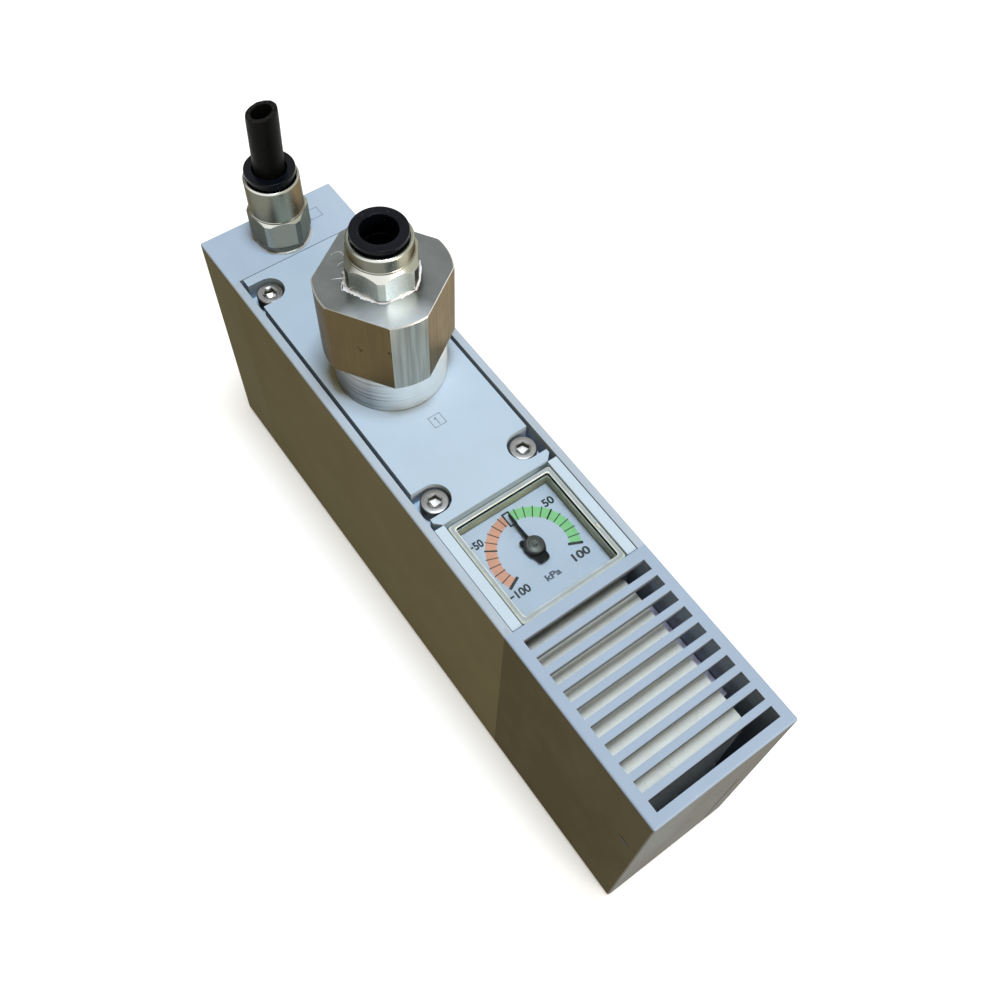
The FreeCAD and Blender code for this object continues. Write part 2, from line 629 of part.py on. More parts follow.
def make_housing():
    """Extruded housing: rails, ledge, suction chamber, ejector duct and hollow channels."""
    name = "housing"
    whole = ("housing_west", "housing_east")
    between_rails = ("-rail_inner", "rail_inner")
    gauge_recess = ("plate_east", "housing_east")
    duct_side = ("-duct_half_width", "duct_half_width")
    keel_side = ("-keel_half_width", "keel_half_width")
    block = box(name + "_block", whole, ("-half_width", "half_width"), ("0", "height"))
    shell = rounded(name + "_bottom", block, "edge_round", bottom_edge)
    shell = rounded(name + "_edges", shell, "edge_break", top_edge)
    tools = [
        box(name + "_ledge", whole, between_rails, ("ledge", "height + 1")),
        box(name + "_gauge", gauge_recess, between_rails, ("recess_floor", "height")),
        box(name + "_duct", whole, duct_side, ("duct_floor", "duct_ceiling")),
        box(name + "_keel", whole, keel_side, ("keel_floor", "keel_top")),
        box(
            name + "_chamber",
            ("chamber_start", "chamber_end"),
            ("-chamber_half_width", "chamber_half_width"),
            ("chamber_floor", "height"),
        ),
        box(name + "_rebate", *filter_block("0", "height - ledge")),
    ]
    channel = ("side_channel_floor", "side_channel_top")
    tools.append(box(name + "_left", whole, ("-side_channel_outer", "-side_channel_inner"), channel))
    tools.append(box(name + "_right", whole, ("side_channel_inner", "side_channel_outer"), channel))
    groove = ring_frame(name + "_groove", *seal_frame())
    tools.append(groove)
    for number, (x, y) in enumerate(plate_screw_spots(), start=1):
        reach = ("notch_floor - plate_screw_length - 1", "height")
        tools.append(rod(f"{name}_thread{number}", "screw_radius + thread_gap", (x, y), reach))
    for number, (y, z) in enumerate(cap_screw_spots(), start=1):
        reach = ("housing_west", "west + cap_counterbore + cap_screw_length + 1")
        tools.append(rod(f"{name}_tap{number}", "screw_radius + thread_gap", (y, z), reach, "x"))
    tools += deck_holes(name)
    tools += gauge_passage(name)
    for number, side in enumerate(("-", ""), start=1):
        spot = (cover_screw_x(), side + "cover_screw_side")
        tools.append(countersink(f"{name}_sink{number}", spot))
    return piece(cut(name, shell, *tools))


def filter_block(play, rise="0"):
    """Block of the suction filter, less a play at each side, and its top raised."""
    side = f"chamber_half_width + filter_ledge - ({play})"
    ends = (f"chamber_start - filter_ledge + ({play})", f"chamber_end + filter_ledge - ({play})")
    return ends, (f"-({side})", side), ("ledge - filter_thickness", f"ledge + ({rise})")


def seal_frame():
    """Outer and inner blocks of the seal round the suction chamber."""
    frames = []
    for reach in ("(seal_reach)", "(seal_reach - seal_width)"):
        ends = (f"chamber_start - {reach}", f"chamber_end + {reach}")
        side = f"chamber_half_width + {reach}"
        frames.append((ends, (f"-({side})", side), ("ledge - seal_depth", "ledge")))
    return frames


def deck_holes(name):
    """The open hole over the first stage and the two holes that the flaps close."""
    holes = []
    high = ("duct_ceiling - 1", "chamber_floor + 1")
    side = ("-flap_half_width + flap_seat_width", "flap_half_width - flap_seat_width")
    start = "chamber_start + 2"
    holes.append(box(name + "_hole1", (start, f"{start} + first_hole_length"), side, high))
    for number, axis in ((2, flap_x("first")), (3, flap_x("second"))):
        ends = (f"{axis} + flap_bead + flap_seat_width", f"{axis} + flap_length - flap_seat_width")
        holes.append(box(f"{name}_hole{number}", ends, side, high))
    return holes


def flap_x(stage):
    """Where the bead of a flap lies: just past the flange that carries it."""
    return f"({stage}_flange + flange_thickness + flap_root + flap_bead + bead_gap)"


def gauge_passage(name):
    """Air way from the suction chamber to the gauge, plugged where it was drilled."""
    drilled = ("chamber_end - 1", "housing_east")
    across = rod(name + "_passage", "passage_radius", ("0", "passage_height"), drilled, "x")
    down = rod(name + "_drop", "passage_radius", ("dial_x", "0"), ("passage_height", "recess_floor"))
    seat = ("recess_floor - stem_reach", "recess_floor")
    stem = rod(name + "_stem", "stem_radius + thread_gap", ("dial_x", "0"), seat)
    return [across, down, stem]


def cover_screw_x():
    """The cover screws pass through the middle of the tongue."""
    return "housing_east - tongue_reach / 2"


def countersink(name, spot):
    """Hole for a cover screw: a cone that opens at the bottom face and a plain hole over it."""
    cone = doc.addObject("Part::Cone", name + "_cone")
    reach = "(cover_screw_head - cover_screw_radius)"
    bind(
        cone,
        Radius1="cover_screw_head + cover_screw_sink",
        Radius2="cover_screw_radius",
        Height=f"{reach} + cover_screw_sink",
    )
    place(cone, spot[0], spot[1], "0")
    hole = rod(name + "_hole", "cover_screw_radius + screw_hole_gap", spot, ("0", "keel_floor + 1"))
    return join(name, cone, hole)


def make_end_cap():
    """End cap: supply port, passage to the nozzle and counterbored screw holes."""
    name = "end_cap"
    whole = ("west", "housing_west")
    block = box(name + "_block", whole, ("-half_width", "half_width"), ("0", "height"))
    end = value("west")
    top = value("height")
    shell = rounded(name + "_bottom", block, "edge_round", bottom_edge)

    def outer_edge(spot, way):
        upright = abs(way.z) > 0.9 and spot.x < end + 0.1
        upper = abs(way.z) < 0.1 and spot.z > top - 0.1 and spot.x < end + value("cap_length") - 0.1
        return upright or upper
    shell = rounded(name + "_edges", shell, "edge_break", outer_edge)
    tools = [
        rod(
            name + "_port",
            "supply_thread + thread_gap",
            ("supply_x", "0"),
            ("height - supply_thread_length - 1", "height"),
        ),
        rod(name + "_down", "supply_passage", ("supply_x", "0"), ("duct_axis", "height")),
        rod(name + "_across", "supply_passage", ("0", "duct_axis"), ("supply_x", "housing_west"), "x"),
        ring_frame(name + "_groove", *cap_seal_frame()),
    ]
    for number, spot in enumerate(cap_screw_spots(), start=1):
        tools.append(rod(f"{name}_hole{number}", "screw_radius + screw_hole_gap", spot, whole, "x"))
        bore = ("west", "west + cap_counterbore")
        wide = "screw_head_radius + counterbore_gap"
        tools.append(rod(f"{name}_bore{number}", wide, spot, bore, "x"))
    return piece(cut(name, shell, *tools))


def cap_seal_frame():
    """Outer and inner blocks of the seal between end cap and housing, round the duct."""
    frames = []
    for reach in ("cap_seal_land + seal_width", "cap_seal_land"):
        side = f"duct_half_width + {reach}"
        ends = ("housing_west - seal_depth", "housing_west")
        high = (f"duct_floor - ({reach})", f"duct_ceiling + {reach}")
        frames.append((ends, (f"-({side})", side), high))
    return frames


def make_silencer_cover():
    """Silencer cover: open towards the housing, slotted on top, with ribs and a tongue inside."""
    name = "silencer_cover"
    whole = ("housing_east", "east")
    block = box(name + "_block", whole, ("-half_width", "half_width"), ("0", "height"))
    end = value("east")
    top = value("height")
    shell = rounded(name + "_bottom", block, "edge_round", bottom_edge)

    def outer_edge(spot, way):
        upright = abs(way.z) > 0.9 and spot.x > end - 0.1
        upper = abs(way.z) < 0.1 and spot.z > top - 0.1 and spot.x > end - value("cover_length") + 0.1
        return upright or upper
    shell = rounded(name + "_edges", shell, "edge_break", outer_edge)
    inside = box(
        name + "_inside",
        ("housing_east", "cover_end"),
        ("-cover_inner", "cover_inner"),
        ("cover_floor", "height - grille_thickness"),
    )
    tools = [inside, pry_slit(name), end_groove(name)]
    side = ("-slot_half_length", "slot_half_length")
    through = ("height - grille_thickness - 1", "height")
    for number in range(int(value("slot_count"))):
        start = f"housing_east + slot_first + {number} * slot_pitch"
        ends = (start, f"{start} + slot_width")
        tools.append(box(f"{name}_slot{number + 1}", ends, side, through))
    shell = cut(name + "_shell", shell, *tools)
    inner = join(name + "_blank", shell, *cover_ribs(name), cover_tongue(name))
    taps = []
    for number, side in enumerate(("-", ""), start=1):
        spot = (cover_screw_x(), side + "cover_screw_side")
        reach = ("keel_floor", "cover_screw_top + 1")
        taps.append(rod(f"{name}_tap{number}", "cover_screw_radius + thread_gap", spot, reach))
    return piece(cut(name, inner, *taps))


def pry_slit(name):
    """Lens-shaped slit: what two rods across the side wall share."""
    arch = "((pry_slit_length / 2)^2 + (pry_slit_height / 2)^2) / pry_slit_height"
    middle = "height - pry_slit_drop"
    rods = []
    for number, sign in enumerate(("+", "-"), start=1):
        centre = ("east - pry_slit_inset", f"{middle} {sign} ({arch} - pry_slit_height / 2)")
        span = ("-half_width - 1", "-cover_inner + 0.4")
        rods.append(rod(f"{name}_arch{number}", arch, centre, span, "y"))
    return common(name + "_slit", *rods)


def end_groove(name):
    """Shallow upright groove in the end face."""
    side = ("end_groove_side - end_groove_width / 2", "end_groove_side + end_groove_width / 2")
    ends = ("east - end_groove_depth", "east + 1")
    return box(name + "_line", ends, side, ("end_groove_bottom", "end_groove_top"))


def cover_ribs(name):
    """Two upright ribs on each side wall, and between the last two a low one under the absorber."""
    ribs = []
    reach = "foam_half_width + strip_play"
    upright = ("cover_floor", "rib_top")
    for number, middle in enumerate(rib_middles(), start=1):
        ends = (f"{middle} - rib_thickness / 2", f"{middle} + rib_thickness / 2")
        ribs.append(box(f"{name}_rib_left{number}", ends, ("-cover_inner", f"-({reach})"), upright))
        ribs.append(box(f"{name}_rib_right{number}", ends, (reach, "cover_inner"), upright))
    low = ("cover_floor", "foam_floor")
    ribs.append(box(name + "_rib_low", ends, ("-cover_inner", "cover_inner"), low))
    return ribs


def rib_middles():
    """Places along X of the two pairs of ribs."""
    return "housing_east + rib_inset", "east - foam_end - rib_inset"


def cover_tongue(name):
    """Tongue that enters the channel under the duct and takes the two screws."""
    side = ("-keel_half_width + tongue_play", "keel_half_width - tongue_play")
    outside = ("housing_east - tongue_reach", "housing_east")
    inside = ("housing_east", "housing_east + tongue_root")
    reach = box(name + "_reach", outside, side, ("tongue_bottom", "tongue_top"))
    root = box(name + "_root", inside, side, ("cover_floor", "tongue_top"))
    return join(name + "_tongue", reach, root)


def make_cover_screws():
    """Two countersunk screws up through the housing floor into the cover's tongue."""
    screws = []
    for number, side in enumerate(("-", ""), start=1):
        profile = (
            ("0", "cover_screw_sink"),
            ("cover_screw_head", "cover_screw_sink"),
            ("cover_screw_radius", "cover_screw_sink + cover_screw_head - cover_screw_radius"),
            ("cover_screw_radius", "cover_screw_top"),
            ("0", "cover_screw_top"),
        )
        spot = (cover_screw_x(), side + "cover_screw_side")
        blank = turned(f"cover_screw{number}_blank", profile, spot)
        depth = ("cover_screw_sink", "cover_screw_sink + cover_socket_depth")
        socket = hexagon(f"cover_screw{number}_socket", "cover_socket_flats", spot, depth)
        screws.append(cut(f"cover_screw{number}", blank, socket))
    return piece(group("cover_screws", screws))


def make_absorber():
    """Felt block with a blind bore in line with the ejector, and a strip beside it."""
    block = box(
        "sound_absorber_block",
        ("foam_west", "foam_east"),
        ("-foam_half_width", "foam_half_width"),
        ("foam_floor", "foam_top"),
    )
    reach = ("foam_west", "foam_east - foam_bore_end")
    bore = rod("sound_absorber_bore", "foam_bore", ("0", "duct_axis"), reach, "x")
    piece(cut("sound_absorber", block, bore))
    first, last = rib_middles()
    ends = (f"{first} + rib_thickness / 2 + strip_play", f"{last} - rib_thickness / 2 - strip_play")
    side = ("foam_half_width + strip_play", "cover_inner - strip_play")
    piece(box("absorber_side_strip", ends, side, ("cover_floor", "height - strip_drop")))


# Port plate and suction side

def make_port_plate():
    """Port plate: threaded vacuum port, corner chamfers and open notches over its screws."""
    name = "port_plate"
    west, east = "plate_west", "plate_east"
    corner = "plate_corner_cut"
    outline = (
        (west, "-plate_side"),
        (f"{east} - {corner}", "-plate_side"),
        (east, f"-plate_side + {corner}"),
        (east, f"plate_side - {corner}"),
        (f"{east} - {corner}", "plate_side"),
        (west, "plate_side"),
    )
    blank = pressed(name + "_blank", outline, ("ledge", "height"))
    port = rod(name + "_port", "adapter_thread + thread_gap", ("vacuum_x", "0"), ("ledge", "height"))
    ring = turned(name + "_groove", adapter_seal_profile(), ("vacuum_x", "0"))
    tools = [port, ring]
    for number, (x, y) in enumerate(plate_screw_spots(), start=1):
        through = ("ledge", "height")
        tools.append(rod(f"{name}_hole{number}", "screw_radius + screw_hole_gap", (x, y), through))
        tools.append(rod(f"{name}_notch{number}", "notch_radius", (x, y), ("notch_floor", "height")))
        sides = ("-half_width", y) if y.startswith("-") else (y, "half_width")
        ends = (f"{x} - notch_radius", f"{x} + notch_radius")
        tools.append(box(f"{name}_open{number}", ends, sides, ("notch_floor", "height")))
    return piece(cut(name, blank, *tools))


def make_plate_fixings():
    """Seal, filter and screws of the port plate."""
    piece(ring_frame("plate_seal", *seal_frame()))
    piece(box("suction_filter", *filter_block("filter_gap")))
    screws = []
    for number, spot in enumerate(plate_screw_spots(), start=1):
        screws.append(socket_screw(f"plate_screw{number}", spot, "notch_floor", "plate_screw_length"))
    piece(group("plate_screws", screws))


def make_cap_fixings():
    """Seal and screws of the end cap."""
    piece(ring_frame("end_cap_seal", *cap_seal_frame()))
    screws = []
    for number, spot in enumerate(cap_screw_spots(), start=1):
        seat = "west + cap_counterbore"
        screws.append(socket_screw(f"end_cap_screw{number}", spot, seat, "cap_screw_length", "x"))
    piece(group("end_cap_screws", screws))


# Ejector stages

def make_nozzle():
    """Drive nozzle: square flange, tapering body, throat and flared mouth."""
    name = "drive_nozzle"
    start = "housing_west"
    profile = (
        ("nozzle_bore", start),
        ("nozzle_radius", start),
        ("nozzle_radius", f"{start} + nozzle_length - 5"),
        ("nozzle_tip_radius", "nozzle_end"),
        ("nozzle_mouth", "nozzle_end"),
        ("nozzle_throat", "nozzle_end - 3"),
        ("nozzle_bore", "nozzle_end - 6"),
    )
    stem = turned(name + "_stem", profile, ("0", "duct_axis"), "x")
    flanged(name, "nozzle_seal", (start, f"({start} + nozzle_flange)"), "nozzle_bore", stem)


def flanged(name, seal_name, ends, bore, *parts):
    """Join parts to a duct-sized flange between two ends, and put a seal in the groove round it."""
    plate = box(
        name + "_plate",
        ends,
        ("-flange_half_width", "flange_half_width"),
        ("flange_floor", "flange_ceiling"),
    )
    groove = ring_frame(name + "_groove", *flange_seal(*ends))
    hole = rod(name + "_bore", bore, ("0", "duct_axis"), ends, "x")
    piece(join(name, *parts, cut(name + "_flange", plate, groove, hole)))
    piece(ring_frame(seal_name, *flange_seal(*ends)))


def flange_seal(start, end):
    """Outer and inner blocks of the seal round a flange: from the duct wall to the groove's floor."""
    ends = (f"({start} + {end} - seal_width) / 2", f"({start} + {end} + seal_width) / 2")
    frames = []
    for reach in ("0", "seal_depth"):
        side = f"duct_half_width - {reach}"
        high = (f"duct_floor + {reach}", f"duct_ceiling - {reach}")
        frames.append((ends, (f"-({side})", side), high))
    return frames


def make_diffuser(order, start, flange, end, throat):
    """A diffuser: flared inlet, throat and widening outlet through a flange."""
    name = "diffuser_" + order
    wide = f"({throat} + flare)"
    profile = (
        (wide, start),
        (f"{wide} + 0.6", start),
        (f"{throat} + stage_wall", f"{start} + 4"),
        (f"{wide} + stage_wall * 0.7", end),
        (wide, end),
        (throat, f"{start} + 6"),
        (throat, f"{start} + 4"),
    )
    parts = [turned(name + "_stem", profile, ("0", "duct_axis"), "x")]
    if order != "third":
        parts.append(flap_shelf(name, order))
    flanged(name, "diffuser_seal_" + order, (flange, f"({flange} + flange_thickness)"), wide, *parts)


def make_stages():
    """The drive nozzle and the three diffusers in line after it."""
    make_nozzle()
    for order in ("first", "second", "third"):
        make_diffuser(order, *(f"{order}_{place}" for place in ("in", "flange", "out", "throat")))


def flap_shelf(name, stage):
    """Shelf on a flange that holds a flap's bead up against the deck."""
    axis = flap_x(stage)
    shelf = box(
        name + "_shelf",
        (f"{stage}_flange + flange_thickness - shelf_root", f"{axis} + shelf_lip"),
        ("-flap_half_width", "flap_half_width"),
        ("shelf_bottom", "flange_ceiling"),
    )
    seat = rod(
        name + "_seat",
        "flap_bead + bead_gap",
        (axis, "flap_axis"),
        ("-flap_half_width", "flap_half_width"),
        "y",
    )
    front = box(
        name + "_front",
        (axis, f"{axis} + 1"),
        ("-flap_half_width", "flap_half_width"),
        ("flap_axis", "duct_ceiling"),
    )
    return cut(name + "_holder", shelf, seat, front)


def make_flaps():
    """The two check flaps, each a tongue with a bead that it turns on."""
    for order, stage in (("second", "first"), ("third", "second")):
        name = "check_flap_" + order
        axis = flap_x(stage)
        side = ("-flap_half_width + flap_side_gap", "flap_half_width - flap_side_gap")
        bead = rod(name + "_bead", "flap_bead", (axis, "flap_axis"), side, "y")
        tongue = box(
            name + "_tongue",
            (axis, f"{axis} + flap_length"),
            side,
            ("duct_ceiling - flap_gap - flap_thickness", "duct_ceiling - flap_gap"),
        )
        piece(join(name, bead, tongue))


# Port adapter and push-in fittings

def adapter_seal_profile():
    """Section of the seal in the port plate under the adapter."""
    outer = "adapter_seal_inner + seal_width"
    return (
        ("adapter_seal_inner", "height - seal_depth"),
        (outer, "height - seal_depth"),
        (outer, "height"),
        ("adapter_seal_inner", "height"),
    )


def make_adapter():
    """Port adapter: turned neck and head with four milled flats, threaded at both ends."""
    name = "port_adapter"
    neck = "height + adapter_base_height"
    profile = (
        ("adapter_bore", "height - adapter_thread_length"),
        ("adapter_thread - 0.8", "height - adapter_thread_length"),
        ("adapter_thread", "height - adapter_thread_length + 0.8"),
        ("adapter_thread", "height"),
        ("adapter_base_radius", "height"),
        ("adapter_base_radius", neck),
        ("adapter_head_radius", neck),
        ("adapter_head_radius", "adapter_top - adapter_chamfer"),
        ("adapter_head_radius - adapter_chamfer", "adapter_top"),
        ("vacuum_thread + thread_gap", "adapter_top"),
        ("vacuum_thread + thread_gap", "adapter_top - adapter_socket_depth"),
        ("adapter_bore - 2", "adapter_top - adapter_socket_depth"),
        ("adapter_bore - 2", "adapter_top - adapter_socket_depth - 2"),
        ("adapter_bore", "adapter_top - adapter_socket_depth - 4"),
    )
    blank = turned(name + "_blank", profile, ("vacuum_x", "0"))
    square = doc.addObject("Part::Prism", name + "_square")
    square.Polygon = 4
    bind(square, Circumradius="adapter_flats / sqrt(2)")
    bind(square, Height="adapter_height + adapter_thread_length")
    place(square, "vacuum_x", "0", "height - adapter_thread_length", turn="adapter_turn + 45")
    piece(common(name, blank, square))
    piece(turned("adapter_seal", adapter_seal_profile(), ("vacuum_x", "0")))


def make_fitting(port):
    """A push-in fitting: threaded hexagon body, tube seal, collet and push ring."""
    centre = (port + "_x", "0")
    foot, rim = {"vacuum": "adapter_top", "supply": "supply_foot"}[port], port + "_rim_z"
    ring_top = f"({rim} + {port}_ring_rise)"
    seal_top = f"({ring_top} - ring_length - ring_travel - collet_height)"
    guide_top = f"({seal_top} - fitting_seal_height)"
    stop = f"({guide_top} - fitting_guide_depth)"
    bore = "(tube_radius + fitting_seal_wall)"
    hex_top = f"({foot} + {port}_hex_height)"
    core = f"({port}_hex_flats / 2 - hex_core)"
    thread, body = port + "_thread", port + "_body_radius"
    thread_end = f"({foot} - {port}_thread_length)"
    profile = (
        ("fitting_bore", thread_end),
        (f"{thread} - thread_lead", thread_end),
        (thread, f"{thread_end} + thread_lead"),
        (thread, foot),
        (core, foot),
        (core, hex_top),
        (body, hex_top),
        (body, f"{rim} - rim_break"),
        (f"{body} - rim_break", rim),
        ("mouth_radius", rim),
        ("mouth_radius", f"{rim} - mouth_depth"),
        ("sleeve_bore", f"{rim} - mouth_depth"),
        ("sleeve_bore", f"{rim} - mouth_depth - mouth_lip"),
        (bore, f"{rim} - mouth_depth - mouth_lip"),
        (bore, guide_top),
        ("tube_bore_wall", guide_top),
        ("tube_bore_wall", stop),
        ("fitting_bore", stop),
    )
    blank = turned(port + "_blank", profile, centre)
    piece(join(port + "_fitting_body", blank, turned_hexagon(port, centre, foot, hex_top)))
    seal_profile = (
        ("tube_bore_wall", guide_top),
        (bore, guide_top),
        (bore, seal_top),
        ("tube_bore_wall", seal_top),
    )
    piece(turned(port + "_tube_seal", seal_profile, centre))
    make_collet(port + "_collet", centre, seal_top)
    make_push_ring(port + "_push_ring", centre, ring_top)


def turned_hexagon(port, centre, foot, top):
    """Hexagon of a fitting: what a six-sided bar and a turned ring with two chamfers share."""
    flats = port + "_hex_flats"
    bar = hexagon(port + "_bar", flats, centre, (foot, top), port + "_hex_turn")
    inside = f"{port}_thread - 1"
    corner = f"({flats} / sqrt(3) - hex_corner_cut)"
    profile = (
        (inside, foot),
        (f"{flats} / 2 - hex_core / 2", foot),
        (corner, f"{foot} + hex_foot_chamfer"),
        (corner, f"{top} - {port}_hex_chamfer"),
        (port + "_body_radius", top),
        (inside, top),
    )
    solid = common(port + "_hex", bar, turned(port + "_chamfer", profile, centre))
    hole = rod(port + "_hex_hole", f"{flats} / 2 - 2 * hex_core", centre, (foot, top))
    return cut(port + "_hex_ring", solid, hole)


def make_collet(name, centre, bottom):
    """Collet: a ring split from its top into six claws."""
    top = f"({bottom} + collet_height)"
    inner = "tube_bore_wall"
    profile = (
        (inner, bottom),
        (f"{inner} + collet_wall", bottom),
        (f"{inner} + collet_wall", f"{bottom} + collet_foot"),
        (f"{inner} + collet_neck", f"{bottom} + collet_foot + collet_wall - collet_neck"),
        (f"{inner} + collet_neck", f"{top} - 1"),
        (f"{inner} + collet_lip", top),
        (inner, top),
    )
    blank = turned(name + "_blank", profile, centre)
    slots = []
    for number in range(3):
        slot = box(
            f"{name}_slot{number + 1}",
            ("-tube_radius * 2", "tube_radius * 2"),
            ("-collet_slot / 2", "collet_slot / 2"),
            (f"{bottom} + collet_foot + 0.2", f"{top} + 1"),
        )
        turn_about(slot, centre, ("-tube_radius * 2", "-collet_slot / 2"), str(60 * number))
        slots.append(slot)
    piece(cut(name, blank, *slots))


def turn_about(item, centre, corner, angle):
    """Turn a block about an upright axis, from which its corner lies along and across."""
    along, across = corner
    x = f"{centre[0]} + ({along}) * cos({angle}) - ({across}) * sin({angle})"
    y = f"{centre[1]} + ({along}) * sin({angle}) + ({across}) * cos({angle})"
    item.setExpression("Placement.Base.x", formula(x))
    item.setExpression("Placement.Base.y", formula(y))
    item.setExpression("Placement.Rotation.Angle", formula(angle))


def make_push_ring(name, centre, top):
    """Push ring: a broad tier over a narrower one, and a sleeve down to the collet."""
    sleeve = f"({top} - ring_length)"
    profile = (
        ("ring_bore", sleeve),
        ("ring_sleeve - ring_break", sleeve),
        ("ring_sleeve", f"{sleeve} + ring_break * 2"),
        ("ring_sleeve", f"{top} - ring_head"),
        ("ring_lower", f"{top} - ring_head"),
        ("ring_lower", f"{top} - ring_tier - ring_step"),
        ("ring_radius", f"{top} - ring_tier"),
        ("ring_radius", f"{top} - ring_break"),
        ("ring_radius - ring_break", top),
        ("ring_bore + ring_break", top),
        ("ring_bore", f"{top} - ring_break"),
    )
    piece(turned(name, profile, centre))


def make_supply_extras():
    """Washer under the supply fitting, and the cut-off tube that stands in it."""
    centre = ("supply_x", "0")
    washer = (
        ("supply_thread + washer_play", "height"),
        ("washer_radius", "height"),
        ("washer_radius", "supply_foot"),
        ("supply_thread + washer_play", "supply_foot"),
    )
    piece(turned("supply_washer", washer, centre))
    seal_top = "supply_rim_z + supply_ring_rise - ring_length - ring_travel - collet_height"
    stop = f"({seal_top} - fitting_seal_height - fitting_guide_depth)"
    block = rod("supply_tube_mitre", "tube_radius * 3", centre, ("tube_bend", "tube_end * 2"))
    mitre = leaning(block, "tube_lean_turn", "tube_lean / 2")
    outer = bent_rod("outer", "tube_radius", centre, stop, mitre)
    inner = bent_rod("inner", "tube_bore", centre, stop, mitre)
    tip = ("tube_tip_x", "tube_tip_y")
    over = rod("supply_tube_over", "tube_radius * 3", tip, ("tube_end", "tube_end * 2"))
    knife = leaning(over, "tube_cut_turn + 180", "tube_cut_angle")
    piece(cut("supply_tube", outer, inner, knife))


def bent_rod(part, radius, centre, stop, mitre):
    """A rod that is upright up to the bend of the supply tube, and leans from there on."""
    name = "supply_tube_" + part
    upright = rod(name + "_upright", radius, centre, (stop, "tube_bend + tube_radius"))
    above = rod(name + "_above", radius, centre, ("tube_bend", "tube_end + tube_radius"))
    below = rod(name + "_below", radius, centre, ("tube_bend", "tube_bend + tube_radius"))
    leaning(above, "tube_lean_turn", "tube_lean")
    leaning(below, "tube_lean_turn", "180 + tube_lean")
    free = common(name + "_free", join(name + "_leaned", above, below), mitre)
    return join(name, cut(name + "_held", upright, mitre), free)


# Gauge

def square_block(name, half, span):
    """A square block round the middle of the gauge."""
    return box(name, (f"gauge_x - {half}", f"gauge_x + {half}"), (f"-{half}", half), span)


def make_gauge_shell():
    """Case, lens, dial, washer and the two trims beside the gauge."""
    outer = "(gauge_size / 2)"
    wall = f"({outer} - case_wall)"
    neck = "dial_half"
    body = square_block("gauge_case_body", outer, ("case_bottom", "lens_bottom - 0.1"))
    collar = square_block("gauge_case_neck", neck, ("lens_bottom - 0.2", "dial_bottom"))
    inside = square_block("gauge_case_inside", f"({neck} - 1)", ("case_inside", "dial_bottom"))
    hole = rod("gauge_case_hole", "stem_radius + 0.05", ("dial_x", "0"), ("case_bottom", "case_inside"))
    piece(cut("gauge_case", join("gauge_case_blank", body, collar), inside, hole))

    lens = square_block("gauge_lens_block", outer, ("lens_bottom", "lens_top"))
    lens = rounded("gauge_lens_round", lens, "lens_corner", lambda spot, way: abs(way.z) > 0.9)
    under = ("lens_bottom", "lens_top - lens_thickness")
    piece(cut("gauge_lens", lens, square_block("gauge_lens_hollow", f"({outer} - lens_border)", under)))

    plate = square_block("gauge_dial_plate", "dial_half", ("dial_bottom", "dial_top"))
    hole = rod("gauge_dial_hole", "arbor_radius + 0.4", ("dial_x", "0"), ("dial_bottom", "dial_top"))
    piece(cut("gauge_dial", plate, hole))

    washer = (
        ("stem_radius + 0.05", "recess_floor"),
        ("stem_radius + 2", "recess_floor"),
        ("stem_radius + 2", "case_bottom"),
        ("stem_radius + 0.05", "case_bottom"),
    )
    piece(turned("gauge_washer", washer, ("dial_x", "0")))
    ends = ("plate_east + seam_gap", "housing_east - seam_gap")
    inner, out = "trim_inner", "rail_inner - trim_play"
    high = ("recess_floor", "height - trim_play")
    piece(box("gauge_trim_left", ends, (f"-({out})", f"-{inner}"), high))
    piece(box("gauge_trim_right", ends, (inner, out), high))


def make_gauge_socket():
    """Brass socket: threaded stem, round block and the arm that the curved tube is soldered to."""
    name = "gauge_socket"
    profile = (
        ("stem_bore", "recess_floor - stem_reach"),
        ("stem_radius", "recess_floor - stem_reach"),
        ("stem_radius", "case_inside"),
        ("socket_radius", "case_inside"),
        ("socket_radius", "lower_plate"),
        ("0", "lower_plate"),
        ("0", "lower_plate - 2"),
        ("stem_bore", "lower_plate - 2"),
    )
    turned_part = turned(name + "_turned", profile, ("dial_x", "0"))
    start = tube_angles()[0]
    arm = box(
        name + "_arm",
        ("dial_x + 3", "dial_x + tube_ring_radius - tube_ring_wall / 2 - solder_gap"),
        ("-1.5", "1.5"),
        ("case_inside", "case_inside + tube_ring_height"),
    )
    turn_about(arm, ("dial_x", "0"), ("3", "-1.5"), start)
    piece(join(name, turned_part, arm))


def tube_angles():
    """Where the curved tube starts, at the socket's arm, and ends, at its free tip."""
    tip = "atan2(tail_y; link_reach)"
    return "-130", tip


def make_curved_tube():
    """Curved pressure tube: part of a flat ring, closed at a tip that carries a pin."""
    name = "pressure_tube"
    low, high = "case_inside", "case_inside + tube_ring_height"
    outer = rod(name + "_outer", "tube_ring_radius + tube_ring_wall / 2", ("dial_x", "0"), (low, high))
    inner = rod(name + "_inner", "tube_ring_radius - tube_ring_wall / 2", ("dial_x", "0"), (low, high))
    start = float(tube_angles()[0])
    tip_angle = math.degrees(math.atan2(value("tail_y"), value("link_reach")))
    gap = doc.addObject("Part::Cylinder", name + "_gap")
    bind(gap, Radius="tube_ring_radius * 2", Height="tube_ring_height + 2")
    gap.Angle = tip_angle - start - 8
    place(gap, "dial_x", "0", "case_inside - 1")
    gap.Placement.Rotation = FreeCAD.Rotation(FreeCAD.Vector(0, 0, 1), start + 8)
    ring = cut(name + "_ring", outer, inner, gap)
    tip = rod(name + "_tip", "1", ("tip_x", "tail_y"), (f"{high} - 1.5", "link_z - 0.3"))
    reach = (f"{high} - 1.5", "link_z + link_thickness + 0.3")
    pin = rod(name + "_pin", "link_pin", ("tip_x", "tail_y"), reach)
    piece(join(name, ring, tip, pin))


